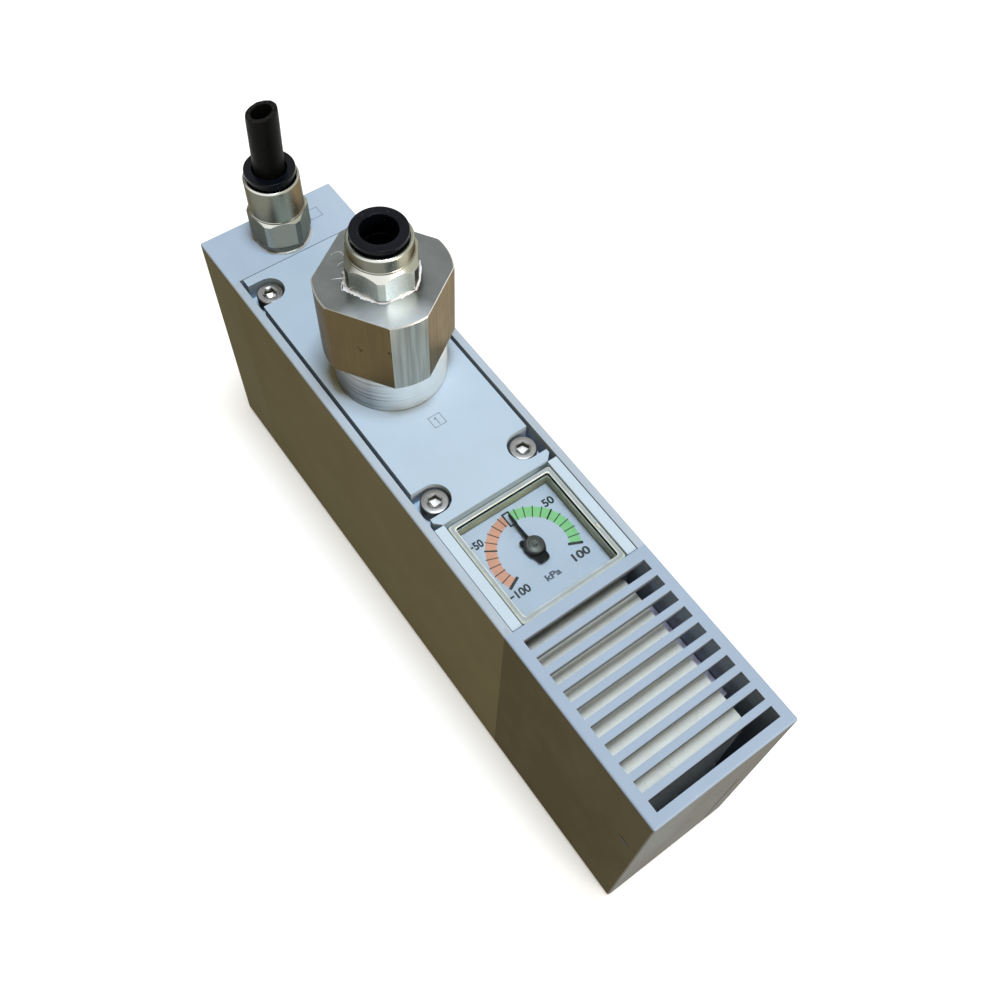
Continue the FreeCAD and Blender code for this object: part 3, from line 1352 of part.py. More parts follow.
def make_movement():
    """Two plates with pillars between them and holes for the arbors."""
    ends = ("dial_x - movement_half_width", "dial_x + movement_half_width")
    side = ("-movement_back", "movement_front")
    rows = ("movement_front - 1", "sector_y")
    posts = [(f"dial_x {sign} pillar_side", y) for sign in "+-" for y in rows]
    lower = "(lower_plate + movement_plate)"
    upper = "(upper_plate + movement_plate)"
    base = box("movement_base_plate", ends, side, ("lower_plate", lower))
    pillars = []
    for number, post in enumerate(posts, start=1):
        gap, reach = ("lower_plate", "upper_plate"), ("lower_plate", upper)
        pillars.append(rod(f"movement_base_pillar{number}", "pillar_radius", post, gap))
        pillars.append(rod(f"movement_base_spigot{number}", "pillar_spigot", post, reach))
    holes = arbor_holes("movement_base", ("lower_plate", lower))
    piece(cut("movement_base", join("movement_base_blank", base, *pillars), *holes))
    top = box("movement_top_plate", ends, side, ("upper_plate", upper))
    holes = arbor_holes("movement_top", ("upper_plate", upper))
    for number, post in enumerate(posts, start=1):
        holes.append(rod(f"movement_top_rivet{number}", "pillar_spigot", post, ("upper_plate", upper)))
    piece(cut("movement_top", top, *holes))


def arbor_holes(name, span):
    """Holes in a plate for the pointer's arbor and the sector's."""
    radius = "arbor_radius + pivot_play"
    return [
        rod(name + "_pointer_hole", radius, ("dial_x", "0"), span),
        rod(name + "_sector_hole", radius, ("dial_x", "sector_y"), span),
    ]


def gear_face(module, teeth):
    """Face of a whole involute gear round the origin, one tooth on +X."""
    tracer = fcgear.FCWireBuilder()
    involute.CreateExternalGear(tracer, module, teeth, PRESSURE_ANGLE)
    return Part.Face(Part.Wire([edge.toShape() for edge in tracer.wire]))


def make_gears():
    """Pointer arbor with its pinion, and the toothed sector with its own arbor and tail."""
    module = value("gear_module")
    height = FreeCAD.Vector(0, 0, value("sector_thickness + 1"))
    pinion = gear_face(module, int(value("pinion_teeth"))).extrude(height)
    pinion_item = doc.addObject("Part::Feature", "pointer_arbor_pinion")
    pinion_item.Shape = pinion
    place(pinion_item, "dial_x", "0", "sector_z - 0.5")
    reach = ("lower_plate", "pointer_hub_top - 0.6")
    arbor = rod("pointer_arbor_rod", "arbor_radius", ("dial_x", "0"), reach)
    piece(join("pointer_arbor", pinion_item, arbor))

    teeth = int(value("sector_wheel_teeth"))
    wheel = gear_face(module, teeth).extrude(FreeCAD.Vector(0, 0, value("sector_thickness")))
    wheel.rotate(FreeCAD.Vector(), FreeCAD.Vector(0, 0, 1), 90 + 180.0 / teeth)
    half = value("sector_half_angle")
    reach = value("arbor_distance") * 1.2
    fan = Part.makeCylinder(reach, 5, FreeCAD.Vector(0, 0, -1), FreeCAD.Vector(0, 0, 1), 2 * half)
    fan.rotate(FreeCAD.Vector(), FreeCAD.Vector(0, 0, 1), 90 - half)
    wheel_item = doc.addObject("Part::Feature", "sector_gear_teeth")
    wheel_item.Shape = wheel.common(fan)
    place(wheel_item, "dial_x", "sector_y", "sector_z")
    plate = ("sector_z", "sector_z + sector_thickness")
    axis, tail_pin = ("dial_x", "sector_y"), ("dial_x", "tail_y")
    hub = rod("sector_gear_hub", "sector_hub", axis, plate)
    reach = ("lower_plate", "upper_plate + 0.6")
    arbor = rod("sector_gear_arbor", "arbor_radius", axis, reach)
    width = ("dial_x - sector_tail", "dial_x + sector_tail")
    tail = box("sector_gear_tail", width, ("tail_y", "sector_y"), plate)
    tail_end = rod("sector_gear_tail_end", "sector_tail", tail_pin, plate)
    pin = rod("sector_gear_pin", "link_pin", tail_pin, ("sector_z", "link_z + link_thickness + 0.2"))
    piece(join("sector_gear", wheel_item, hub, arbor, tail, tail_end, pin))


def make_link():
    """Link from the curved tube's tip pin, which runs in a slot, to the sector's tail pin."""
    span = ("link_z", "link_z + link_thickness")
    slot_reach = "(link_stroke + link_pin + link_clear)"
    side = ("tail_y - link_half_width", "tail_y + link_half_width")
    bar = box("gauge_link_bar", ("dial_x", "tip_x"), side, span)
    eye = rod("gauge_link_eye", "link_eye", ("dial_x", "tail_y"), span)
    head = box(
        "gauge_link_head",
        (f"tip_x - {slot_reach} - link_wall", f"tip_x + {slot_reach} + link_wall"),
        ("tail_y - link_head", "tail_y + link_head"),
        span,
    )
    hole = rod("gauge_link_hole", "link_pin + pivot_play", ("dial_x", "tail_y"), span)
    slot = box(
        "gauge_link_slot",
        (f"tip_x - {slot_reach}", f"tip_x + {slot_reach}"),
        ("tail_y - link_pin - link_clear", "tail_y + link_pin + link_clear"),
        span,
    )
    piece(cut("gauge_link", join("gauge_link_blank", bar, eye, head), hole, slot))


def make_pointer():
    """Pointer: hub, tapering hand towards the port plate and a widening tail."""
    name = "pointer"
    hand_outline = (
        ("-pointer_length", "-pointer_tip"),
        ("0", "-pointer_root"),
        ("pointer_tail", "-pointer_tail_width"),
        ("pointer_tail", "pointer_tail_width"),
        ("0", "pointer_root"),
        ("-pointer_length", "pointer_tip"),
    )
    centre = ("dial_x", "0")
    thick = ("pointer_z", "pointer_z + pointer_thickness")
    blade = pressed(name + "_hand", hand_outline, thick, centre)
    neck = "dial_top + pointer_neck_gap"
    hub_profile = (
        ("0", neck),
        ("pointer_neck", neck),
        ("pointer_neck", "pointer_z"),
        ("pointer_hub_radius", "pointer_z"),
        ("pointer_hub_radius", "pointer_hub_top - pointer_hub_break"),
        ("pointer_hub_radius - pointer_hub_break", "pointer_hub_top"),
        ("0", "pointer_hub_top"),
    )
    hub = turned(name + "_hub", hub_profile, centre)
    seat = rod(name + "_seat", "arbor_radius", centre, ("dial_top", "pointer_hub_top - 0.6"))
    piece(cut(name, join(name + "_blank", blade, hub), seat))


def make_passage_plug():
    """Plug pressed into the drilled end of the gauge passage."""
    ends = ("housing_east - plug_length - 0.5", "housing_east - 0.5")
    piece(rod("passage_plug", "passage_radius", ("0", "passage_height"), ends, "x"))


# Finish: check every object, then write one file for each piece

def check_and_write():
    """Stop at the first object that failed, then write every piece."""
    doc.recompute()
    for item in doc.Objects:
        if any(word in ("Invalid", "Error") for word in item.State):
            raise RuntimeError(f"{item.Name} failed: {item.State}")
    os.makedirs("parts", exist_ok=True)
    for item in PIECES:
        shape = item.Shape
        if shape.isNull() or not shape.isValid() or not shape.Solids:
            raise RuntimeError(f"{item.Label} has no valid shape")
        shape.exportStep(f"parts/{item.Label}.step")
        limits = shape.BoundBox
        print(f"{item.Label}: {len(shape.Solids)} solid(s), {shape.Volume:.1f} mm3,"
              f" x {limits.XMin:.2f} {limits.XMax:.2f} y {limits.YMin:.2f} {limits.YMax:.2f}"
              f" z {limits.ZMin:.2f} {limits.ZMax:.2f}")


def main():
    """Build the ejector piece by piece."""
    fill_sheet()
    make_housing()
    make_end_cap()
    make_cap_fixings()
    make_port_plate()
    make_plate_fixings()
    make_stages()
    make_flaps()
    make_passage_plug()
    make_adapter()
    make_fitting("vacuum")
    make_fitting("supply")
    make_supply_extras()
    make_gauge_shell()
    make_gauge_socket()
    make_curved_tube()
    make_movement()
    make_gears()
    make_link()
    make_pointer()
    make_silencer_cover()
    make_absorber()
    make_cover_screws()
    check_and_write()


main()
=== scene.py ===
import math

import bmesh
import bpy
import numpy as np
from bpy.props import FloatProperty, FloatVectorProperty, IntProperty, PointerProperty
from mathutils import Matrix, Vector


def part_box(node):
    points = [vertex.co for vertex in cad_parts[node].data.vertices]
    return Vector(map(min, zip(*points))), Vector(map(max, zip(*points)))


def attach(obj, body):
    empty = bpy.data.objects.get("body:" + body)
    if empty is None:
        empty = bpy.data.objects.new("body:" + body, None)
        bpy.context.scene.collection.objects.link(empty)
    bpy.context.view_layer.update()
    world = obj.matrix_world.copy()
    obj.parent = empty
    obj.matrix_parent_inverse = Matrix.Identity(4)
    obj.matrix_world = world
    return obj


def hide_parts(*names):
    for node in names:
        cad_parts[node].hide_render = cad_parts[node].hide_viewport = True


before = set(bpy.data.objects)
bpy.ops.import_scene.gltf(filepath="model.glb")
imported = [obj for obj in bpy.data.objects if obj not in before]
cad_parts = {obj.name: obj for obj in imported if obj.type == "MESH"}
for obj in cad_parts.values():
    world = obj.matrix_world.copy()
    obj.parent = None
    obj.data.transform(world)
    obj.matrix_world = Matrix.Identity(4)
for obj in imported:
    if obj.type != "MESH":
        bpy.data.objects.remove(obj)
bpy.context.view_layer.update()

# Vacuum ejector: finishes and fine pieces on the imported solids.
# Lengths in this file are millimetres in the part's own frame, unless a line says otherwise.

bl_info = {
    "name": "Vacuum ejector",
    "version": (1, 0, 0),
    "blender": (4, 5, 0),
    "location": "View3D > Sidebar > Ejector",
    "description": "Dresses the packed vacuum ejector with its finishes and fine pieces",
    "category": "Object",
}

MM = 0.001
TURN = 2 * math.pi


def tint(red, green, blue):
    """Linear colour of a display colour from 0 to 255: the standard display curve undone."""
    shares = [part / 255 for part in (red, green, blue)]
    return tuple(s / 12.92 if s <= 0.04045 else ((s + 0.055) / 1.055) ** 2.4 for s in shares)


def corners(node):
    """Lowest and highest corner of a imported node."""
    low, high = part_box(node)
    return np.array(low) / MM, np.array(high) / MM


def middle(node):
    """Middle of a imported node's box."""
    low, high = corners(node)
    return (low + high) / 2


# Sizes and colours that a user may change

def length_property(label, text, default):
    """A length in millimetres."""
    return FloatProperty(name=label, description=text + ", in millimetres", default=default, min=0.0)


def colour_property(label, text, default):
    """A colour."""
    return FloatVectorProperty(
        name=label, description=text, subtype="COLOR", size=3, min=0.0, max=1.0, default=default
    )


def power_property(label, text, default):
    """A lamp's power in watts."""
    return FloatProperty(name=label, description=text, default=default, min=0.0, unit="POWER")


class EjectorColours(bpy.types.PropertyGroup):
    """Colours of the main finishes."""

    housing: colour_property("Housing", "Paint on the housing", tint(186, 200, 214))
    plate: colour_property("Port plate", "Paint on the port plate", tint(190, 210, 228))
    cap: colour_property("End cap", "Paint on the end cap", tint(188, 206, 226))
    cover: colour_property("Cover", "Moulded silencer cover", tint(172, 190, 212))
    trim: colour_property("Trim", "Strips beside the gauge", tint(204, 222, 236))
    felt: colour_property("Felt", "Sound absorber", tint(240, 240, 230))
    # The aluminium colour is brown as a painted reflection of warm surroundings.
    aluminium: colour_property("Aluminium", "Bare turned aluminium", tint(92, 80, 57))
    nickel: colour_property("Nickel", "Plating on the fittings", tint(118, 118, 110))
    steel: colour_property("Steel", "Screws", tint(146, 146, 144))
    rings: colour_property("Push rings", "Moulded push rings", tint(7, 10, 15))
    tube: colour_property("Tube", "Air tube", tint(11, 12, 11))
    dial: colour_property("Dial", "Dial face", tint(168, 174, 193))
    vacuum_band: colour_property("Vacuum band", "Dial band below zero", tint(197, 136, 114))
    pressure_band: colour_property("Pressure band", "Dial band above zero", tint(120, 180, 120))
    ink: colour_property("Ink", "Figures and marks of the dial", tint(4, 6, 10))


class EjectorSizes(bpy.types.PropertyGroup):
    """Sizes of the fine pieces."""

    band_inner: length_property("Band inside", "Inner radius of the dial bands", 8.66)
    band_outer: length_property("Band outside", "Outer radius of the dial bands", 11.4)
    figure_height: length_property("Figure height", "Height of the dial figures", 2.2)
    scale_half_turn: FloatProperty(
        name="Scale half turn", description="From zero to either end of the scale",
        default=math.radians(115.5), subtype="ANGLE", unit="ROTATION",
    )
    divisions: IntProperty(name="Divisions", description="Divisions on each side of zero", default=10, min=1)
    lens_chamfer: length_property("Lens chamfer", "Chamfer round the lens", 0.35)
    lens_step: length_property("Lens step", "Shallow step round the window", 0.18)
    tape_width: length_property("Tape", "Sealing tape round the vacuum fitting", 1.5)


class EjectorLights(bpy.types.PropertyGroup):
    """Studio lights."""

    key: power_property("Key light", "Power of the soft light overhead", 17.2)
    side: power_property("Side light", "Power of the light from the cover's end", 8.0)
    warmth: colour_property("Bounce", "Light that comes back from around", tint(215, 185, 127))
    bounce: FloatProperty(name="Bounce strength", description="Strength of that light", default=0.36, min=0.0)


# Surfaces: grids of points, collected into one mesh

class Shape:
    """Collects surfaces, each a grid of points, and writes them as one mesh."""

    def __init__(self):
        self.points = []
        self.faces = []
        self.finishes = []
        self.count = 0

    def grid(self, points, around=False, along=False, capped=False, finish=0):
        """Faces between the rows of a grid: each row's points join in turn, and row to row.

        Rows close on themselves if around, the last row meets the first if along, and the
        two end rows are filled with the first finish if capped.
        """
        rows, columns = points.shape[:2]
        index = np.arange(rows * columns).reshape(rows, columns) + self.count
        first = np.vstack([index, index[:1]]) if along else index
        if around:
            first = np.hstack([first, first[:, :1]])
        quads = np.stack([first[:-1, :-1], first[:-1, 1:], first[1:, 1:], first[1:, :-1]], axis=-1)
        quads = quads.reshape(-1, 4)
        self.points.append(points.reshape(-1, 3))
        self.faces += quads.tolist()
        steps = np.asarray(finish)
        if steps.ndim:
            self.finishes += np.repeat(steps, first.shape[1] - 1).tolist()
        else:
            self.finishes += [int(finish)] * len(quads)
        if capped:
            self.faces += [index[0][::-1].tolist(), index[-1].tolist()]
            self.finishes += [0, 0]
        self.count += rows * columns

    def polygon(self, points):
        """One flat face through a closed outline, in the first finish."""
        points = np.asarray(points, float)
        self.points.append(points)
        self.faces.append(list(range(self.count, self.count + len(points))))
        self.finishes.append(0)
        self.count += len(points)

    def build(self, name, materials, body, replaces=(), sharp=25, closed=True):
        """Write the mesh, give it its finishes and let it ride on its body."""
        mesh = bpy.data.meshes.new(name)
        mesh.from_pydata((np.vstack(self.points) * MM).tolist(), [], self.faces)
        mesh.polygons.foreach_set("material_index", self.finishes)
        for finish in materials:
            mesh.materials.append(finish)
        if closed:
            work = bmesh.new()
            work.from_mesh(mesh)
            bmesh.ops.remove_doubles(work, verts=work.verts, dist=1e-7)
            bmesh.ops.recalc_face_normals(work, faces=work.faces)
            work.to_mesh(mesh)
            work.free()
        mesh.shade_smooth()
        mesh.set_sharp_from_angle(angle=math.radians(sharp))
        piece = bpy.data.objects.new(name, mesh)
        bpy.context.scene.collection.objects.link(piece)
        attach(piece, body)
        if replaces:
            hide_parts(*replaces)


def softened(outline, radius, steps=4, closed=True):
    """Round the corners of an outline.

    Each corner becomes a quadratic curve that leaves one edge and meets the next a
    radius from the corner, or at a third of an edge that is short.
    """
    points = np.asarray(outline, float)
    before = np.roll(points, 1, axis=0)
    after = np.roll(points, -1, axis=0)
    to_before = before - points
    to_after = after - points
    reach_before = np.linalg.norm(to_before, axis=1, keepdims=True)
    reach_after = np.linalg.norm(to_after, axis=1, keepdims=True)
    start = points + to_before * np.minimum(radius / reach_before, 0.33)
    end = points + to_after * np.minimum(radius / reach_after, 0.33)
    share = np.linspace(0, 1, steps + 1).reshape(1, -1, 1)
    start, corner, end = (part[:, None, :] for part in (start, points, end))
    curve = (1 - share) ** 2 * start + 2 * share * (1 - share) * corner + share ** 2 * end
    curve = curve.reshape(-1, 2)
    if closed:
        return curve
    return np.vstack([points[:1], curve[steps + 1:-(steps + 1)], points[-1:]])


def ring(centre, radius, angles, height):
    """Points round an upright axis, at given distances, angles and heights."""
    x = centre[0] + radius * np.cos(angles)
    y = centre[1] + radius * np.sin(angles)
    return np.stack([x, y, np.broadcast_to(height, x.shape)], axis=-1)


def turned_grid(rows, centre, angles):
    """Grid of a surface round an upright axis: a row for each pair of radius and height.

    Both are numbers, or arrays that change with the angle.
    """
    return np.array([ring(centre, radius, angles, height) for radius, height in rows])


def even_angles(count):
    """Angles spread evenly round a circle."""
    return np.arange(count) * TURN / count


def polygon_radius(angle, flats, sides, turn):
    """Distance from the middle of a regular polygon to its side: half its flats over the
    cosine of the angle from the nearest side's middle."""
    step = TURN / sides
    off = (angle - turn + step / 2) % step - step / 2
    return flats / 2 / np.cos(off)


def corner_angles(sides, turn, limit, count):
    """Angles round a polygon, with points exactly where its sides meet a circle or each other."""
    step = TURN / sides
    side = np.linspace(-limit, limit, count, endpoint=False)
    corner = step - 2 * limit
    rest = np.linspace(limit, step - limit, max(1, int(count * corner / step)), endpoint=False)
    one = np.concatenate([side, rest]) if corner > 1e-6 else side
    return (turn + np.arange(sides)[:, None] * step + one[None, :]).ravel()


def chamfered_bar(angles, flats, sides, turn, corner, ends):
    """Rows of a bar with flat sides, with a turned cone at each of its two ends.

    Each end is a height, the cone's radius there, and the height it takes up to the
    corners. At every angle the bar's radius is its side's or its corner's, whichever is
    less, and the cone ends where it meets it.
    """
    side = np.minimum(polygon_radius(angles, flats, sides, turn), corner)
    rows = []
    for height, radius, rise in ends:
        met = height + rise * np.clip((side - radius) / (corner - radius), 0, 1)
        rows += [(np.minimum(side, radius), height), (side, met)]
    return rows[:2] + rows[:1:-1]


def rounded_square(half, corner):
    """Loop round a square with round corners: four quarter circles, each at its corner."""
    quarter = np.linspace(0, math.pi / 2, 8)
    loop = []
    for number in range(4):
        angle = quarter + number * math.pi / 2
        middle_angle = math.pi / 4 + number * math.pi / 2
        centre = np.sqrt(2) * (half - corner) * np.array([math.cos(middle_angle), math.sin(middle_angle)])
        loop.append(centre + corner * np.stack([np.cos(angle), np.sin(angle)], axis=-1))
    return np.vstack(loop)


def raised(loop, height):
    """A flat loop put at a height."""
    return np.column_stack([loop, np.full(len(loop), height)])


def square_bars(low, high, left, right, wide):
    """Outlines of the four bars of a square frame: two along X, then two across."""
    bars = (
        (low, high, left, left + wide), (low, high, right - wide, right),
        (low, low + wide, left, right), (high - wide, high, left, right),
    )
    return [[(x0, y0), (x1, y0), (x1, y1), (x0, y1)] for x0, x1, y0, y1 in bars]


def cord_grid(path, radius, count=6):
    """Grid of a thin round strand: a small circle across the path at each of its points."""
    path = np.asarray(path, float)
    way = np.gradient(path, axis=0)
    way /= np.linalg.norm(way, axis=1, keepdims=True)
    side = np.cross(way, [0.13, 0.21, 1.0])
    side /= np.linalg.norm(side, axis=1, keepdims=True)
    up = np.cross(side, way)
    angle = even_angles(count)
    radius = np.broadcast_to(radius, len(path))[:, None, None]
    round_it = side[:, None] * np.cos(angle)[None, :, None] + up[:, None] * np.sin(angle)[None, :, None]
    return path[:, None] + round_it * radius


# Shader trees

class Tree:
    """Writes nodes into one shader tree."""

    def __init__(self, tree):
        self.tree = tree

    def add(self, kind, inputs=None, **settings):
        """A node with its settings, its inputs linked or set."""
        node = self.tree.nodes.new("ShaderNode" + kind)
        for key, entry in settings.items():
            setattr(node, key, entry)
        for key, entry in (inputs or {}).items():
            self.feed(node.inputs[key], entry)
        return node

    def feed(self, socket, entry):
        """Link an output to a socket, or set its value."""
        if isinstance(entry, bpy.types.NodeSocket):
            self.tree.links.new(entry, socket)
        elif isinstance(entry, tuple) and len(entry) == 3 and socket.type == "RGBA":
            socket.default_value = (*entry, 1.0)
        else:
            socket.default_value = entry

    def maths(self, operation, first, second=0.0):
        """One step of arithmetic on a number, or on two."""
        return self.add("Math", {0: first, 1: second}, operation=operation).outputs[0]

    def plus(self, first, second):
        """Two numbers added."""
        return self.maths("ADD", first, second)

    def times(self, first, second):
        """Two numbers multiplied."""
        return self.maths("MULTIPLY", first, second)

    def span(self, entry, low, high, start=0.0, end=1.0):
        """A number between low and high, spread from start to end."""
        inputs = {"Value": entry, "From Min": low, "From Max": high, "To Min": start, "To Max": end}
        return self.add("MapRange", inputs, clamp=True).outputs[0]

    def between(self, share, first, second):
        """A colour between two."""
        return self.add("Mix", {0: share, 6: first, 7: second}, data_type="RGBA").outputs[2]

    def scaled(self, vector, scale):
        """A place stretched along each axis."""
        return self.add("VectorMath", {0: vector, 1: scale}, operation="MULTIPLY").outputs[0]

    def noise(self, vector, scale, detail=2.0, rough=0.5):
        """Noise from 0 to 1."""
        inputs = {"Vector": vector, "Scale": scale, "Detail": detail, "Roughness": rough}
        return self.add("TexNoise", inputs).outputs["Fac"]

    def normal(self):
        """The surface's own direction."""
        return self.add("NewGeometry").outputs["Normal"]

    def parts(self, vector):
        """The X, Y and Z of a vector."""
        return self.add("SeparateXYZ", {0: vector}).outputs

    def from_axis(self, place, centre):
        """A place measured from an upright axis, given in millimetres."""
        axis = (centre[0] * MM, centre[1] * MM, 0.0)
        return self.add("VectorMath", {0: place, 1: axis}, operation="SUBTRACT").outputs[0]

    def facing(self, degrees, low, high):
        """How far a surface faces a direction, from +X towards +Y: 0 under low, 1 over high."""
        angle = math.radians(degrees)
        inputs = {0: self.normal(), 1: (math.cos(angle), math.sin(angle), 0.0)}
        return self.span(self.add("VectorMath", inputs, operation="DOT_PRODUCT").outputs[1], low, high)

    def upward(self, low, high):
        """How far a surface faces up: 0 under low, 1 over high."""
        return self.span(self.parts(self.normal())[2], low, high)

    def bands(self, tone, *bands):
        """Lay colours over a tone, each strongest where the surface faces its direction.

        A band is its direction, the two limits of facing and its colour.
        """
        for degrees, low, high, colour in bands:
            tone = self.between(self.facing(degrees, low, high), tone, colour)
        return tone

    def group(self, name, **inputs):
        """One of the shared effects, with its own values."""
        node = self.add("Group", node_tree=bpy.data.node_groups[name])
        for key, entry in inputs.items():
            self.feed(node.inputs[key.capitalize()], entry)
        return node.outputs[0]


def effect(name, output, **inputs):
    """An empty shared effect: named inputs with defaults, and one output."""
    tree = bpy.data.node_groups.new(name, "ShaderNodeTree")
    tree.interface.new_socket(name="Vector", in_out="INPUT", socket_type="NodeSocketVector")
    for key, entry in inputs.items():
        label = key.capitalize()
        socket = tree.interface.new_socket(name=label, in_out="INPUT", socket_type="NodeSocketFloat")
        socket.default_value = entry
    tree.interface.new_socket(name=output, in_out="OUTPUT", socket_type="NodeSocketFloat")
    start = tree.nodes.new("NodeGroupInput")
    end = tree.nodes.new("NodeGroupOutput")
    return Tree(tree), start.outputs, end.inputs[0]


def make_effects():
    """The shared effects: patches, specks, scratches, grain and turned or milled lines."""
    tree, given, out = effect("patches", "Mask", scale=60.0, spread=0.15)
    cloud = tree.noise(given["Vector"], given["Scale"], 4.0, 0.6)
    low = tree.maths("SUBTRACT", 0.5, given["Spread"])
    high = tree.plus(0.5, given["Spread"])
    tree.feed(out, tree.span(cloud, low, high))

    tree, given, out = effect("specks", "Mask", scale=900.0, size=0.12, amount=0.5)
    cells = tree.add("TexVoronoi", {"Vector": given["Vector"], "Scale": given["Scale"]})
    near = tree.span(cells.outputs["Distance"], given["Size"], 0.0)
    chosen = tree.add("SeparateColor", {0: cells.outputs["Color"]}).outputs[0]
    tree.feed(out, tree.times(near, tree.maths("LESS_THAN", chosen, given["Amount"])))

    tree, given, out = effect("scratches", "Mask", scale=120.0, width=0.012, amount=0.45)
    warp = tree.noise(given["Vector"], given["Scale"], 1.0)
    line = tree.maths("ABSOLUTE", tree.maths("SUBTRACT", warp, 0.5))
    thin = tree.span(line, given["Width"], 0.0)
    where = tree.noise(given["Vector"], tree.times(given["Scale"], 0.35), 2.0)
    patch = tree.span(where, tree.maths("SUBTRACT", 1.0, given["Amount"]), 0.75)
    tree.feed(out, tree.times(thin, patch))

    tree, given, out = effect("grain", "Height", scale=2600.0, mix=0.5)
    fine = tree.noise(given["Vector"], given["Scale"], 2.0)
    pits = tree.add("TexVoronoi", {"Vector": given["Vector"], "Scale": given["Scale"]}, feature="SMOOTH_F1")
    first = tree.times(fine, tree.maths("SUBTRACT", 1.0, given["Mix"]))
    second = tree.times(pits.outputs["Distance"], given["Mix"])
    tree.feed(out, tree.plus(first, second))

    tree, given, out = effect("turned lines", "Height", pitch=0.00025, waver=0.4)
    parts = tree.parts(given["Vector"])
    square = tree.plus(tree.maths("POWER", parts[0], 2.0), tree.maths("POWER", parts[1], 2.0))
    travel = tree.plus(tree.maths("SQRT", square), parts[2])
    phase = tree.maths("DIVIDE", travel, given["Pitch"])
    line = tree.add("CombineXYZ", {0: phase}).outputs[0]
    steady = tree.maths("SINE", tree.times(phase, TURN))
    uneven = tree.noise(line, 1.7, 3.0, 0.7)
    mixed = {0: given["Waver"], 2: tree.span(steady, -1.0, 1.0), 3: uneven}
    tree.feed(out, tree.add("Mix", mixed, data_type="FLOAT").outputs[0])


def material(name, colour, shade, rough, metallic=0.0, coat=0.0, specular=0.5, patch=60.0, spread=0.16,
             grain=(2600.0, 0.5, 0.000012), specks=None, scratches=None, lines=None, extra=None,
             transmission=0.0, ior=1.45, sheen=0.0, slant=(1.0, 1.0, 1.0)):
    """A finish: patches between two colours and two roughnesses, with fine relief.

    grain is (scale, mix, depth), specks (scale, size, amount, colour), scratches (scale,
    stretch, width, amount, colour), lines (centre, pitch, waver, depth), slant the tint of a
    metal seen at a slant, and extra a function that changes the colour, roughness and relief
    further.
    """
    made = bpy.data.materials.new(name)
    made.use_nodes = True
    tree = Tree(made.node_tree)
    shader = made.node_tree.nodes["Principled BSDF"]
    place = tree.add("TexCoord").outputs["Object"]
    mask = tree.group("patches", vector=place, scale=patch, spread=spread)
    tone = tree.between(mask, colour, shade)
    cloud = tree.group("patches", vector=place, scale=patch * 2.3, spread=spread * 1.4)
    roughness = tree.span(cloud, 0.0, 1.0, *rough)
    scale, mix, depth = grain
    relief = tree.times(tree.group("grain", vector=place, scale=scale, mix=mix), depth)
    if specks:
        scale, size, amount, speck_colour = specks
        dots = tree.group("specks", vector=place, scale=scale, size=size, amount=amount)
        tone = tree.between(dots, tone, speck_colour)
    if scratches:
        scale, stretch, width, amount, scratch_colour = scratches
        drawn = tree.scaled(place, stretch)
        marks = tree.group("scratches", vector=drawn, scale=scale, width=width, amount=amount)
        tone = tree.between(tree.times(marks, 0.6), tone, scratch_colour)
        relief = tree.maths("SUBTRACT", relief, tree.times(marks, 0.00002))
    if lines:
        centre, pitch, waver, line_depth = lines
        moved = tree.from_axis(place, centre)
        rings = tree.group("turned lines", vector=moved, pitch=pitch * MM, waver=waver)
        relief = tree.plus(relief, tree.times(rings, line_depth))
    if extra:
        tone, roughness, relief = extra(tree, place, tone, roughness, relief)
    bump = tree.add("Bump", {"Height": relief, "Distance": 1.0, "Strength": 1.0})
    inputs = {
        "Base Color": tone, "Roughness": roughness, "Normal": bump.outputs[0], "Metallic": metallic,
        "Coat Weight": coat, "Coat Roughness": 0.1, "Specular IOR Level": specular,
        "Transmission Weight": transmission, "IOR": ior, "Sheen Weight": sheen, "Specular Tint": slant,
    }
    for key, entry in inputs.items():
        tree.feed(shader.inputs[key], entry)
    return made


def dress(node, finish):
    """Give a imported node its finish."""
    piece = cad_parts[node]
    if not piece.material_slots:
        piece.data.materials.append(finish)
    for entry in piece.material_slots:
        entry.material = finish


def dress_all(finishes):
    """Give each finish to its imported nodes."""
    for finish, nodes in finishes.items():
        for node in nodes:
            dress(node, finish)


def darker(colour, share):
    """A colour times a share."""
    return tuple(part * share for part in colour)


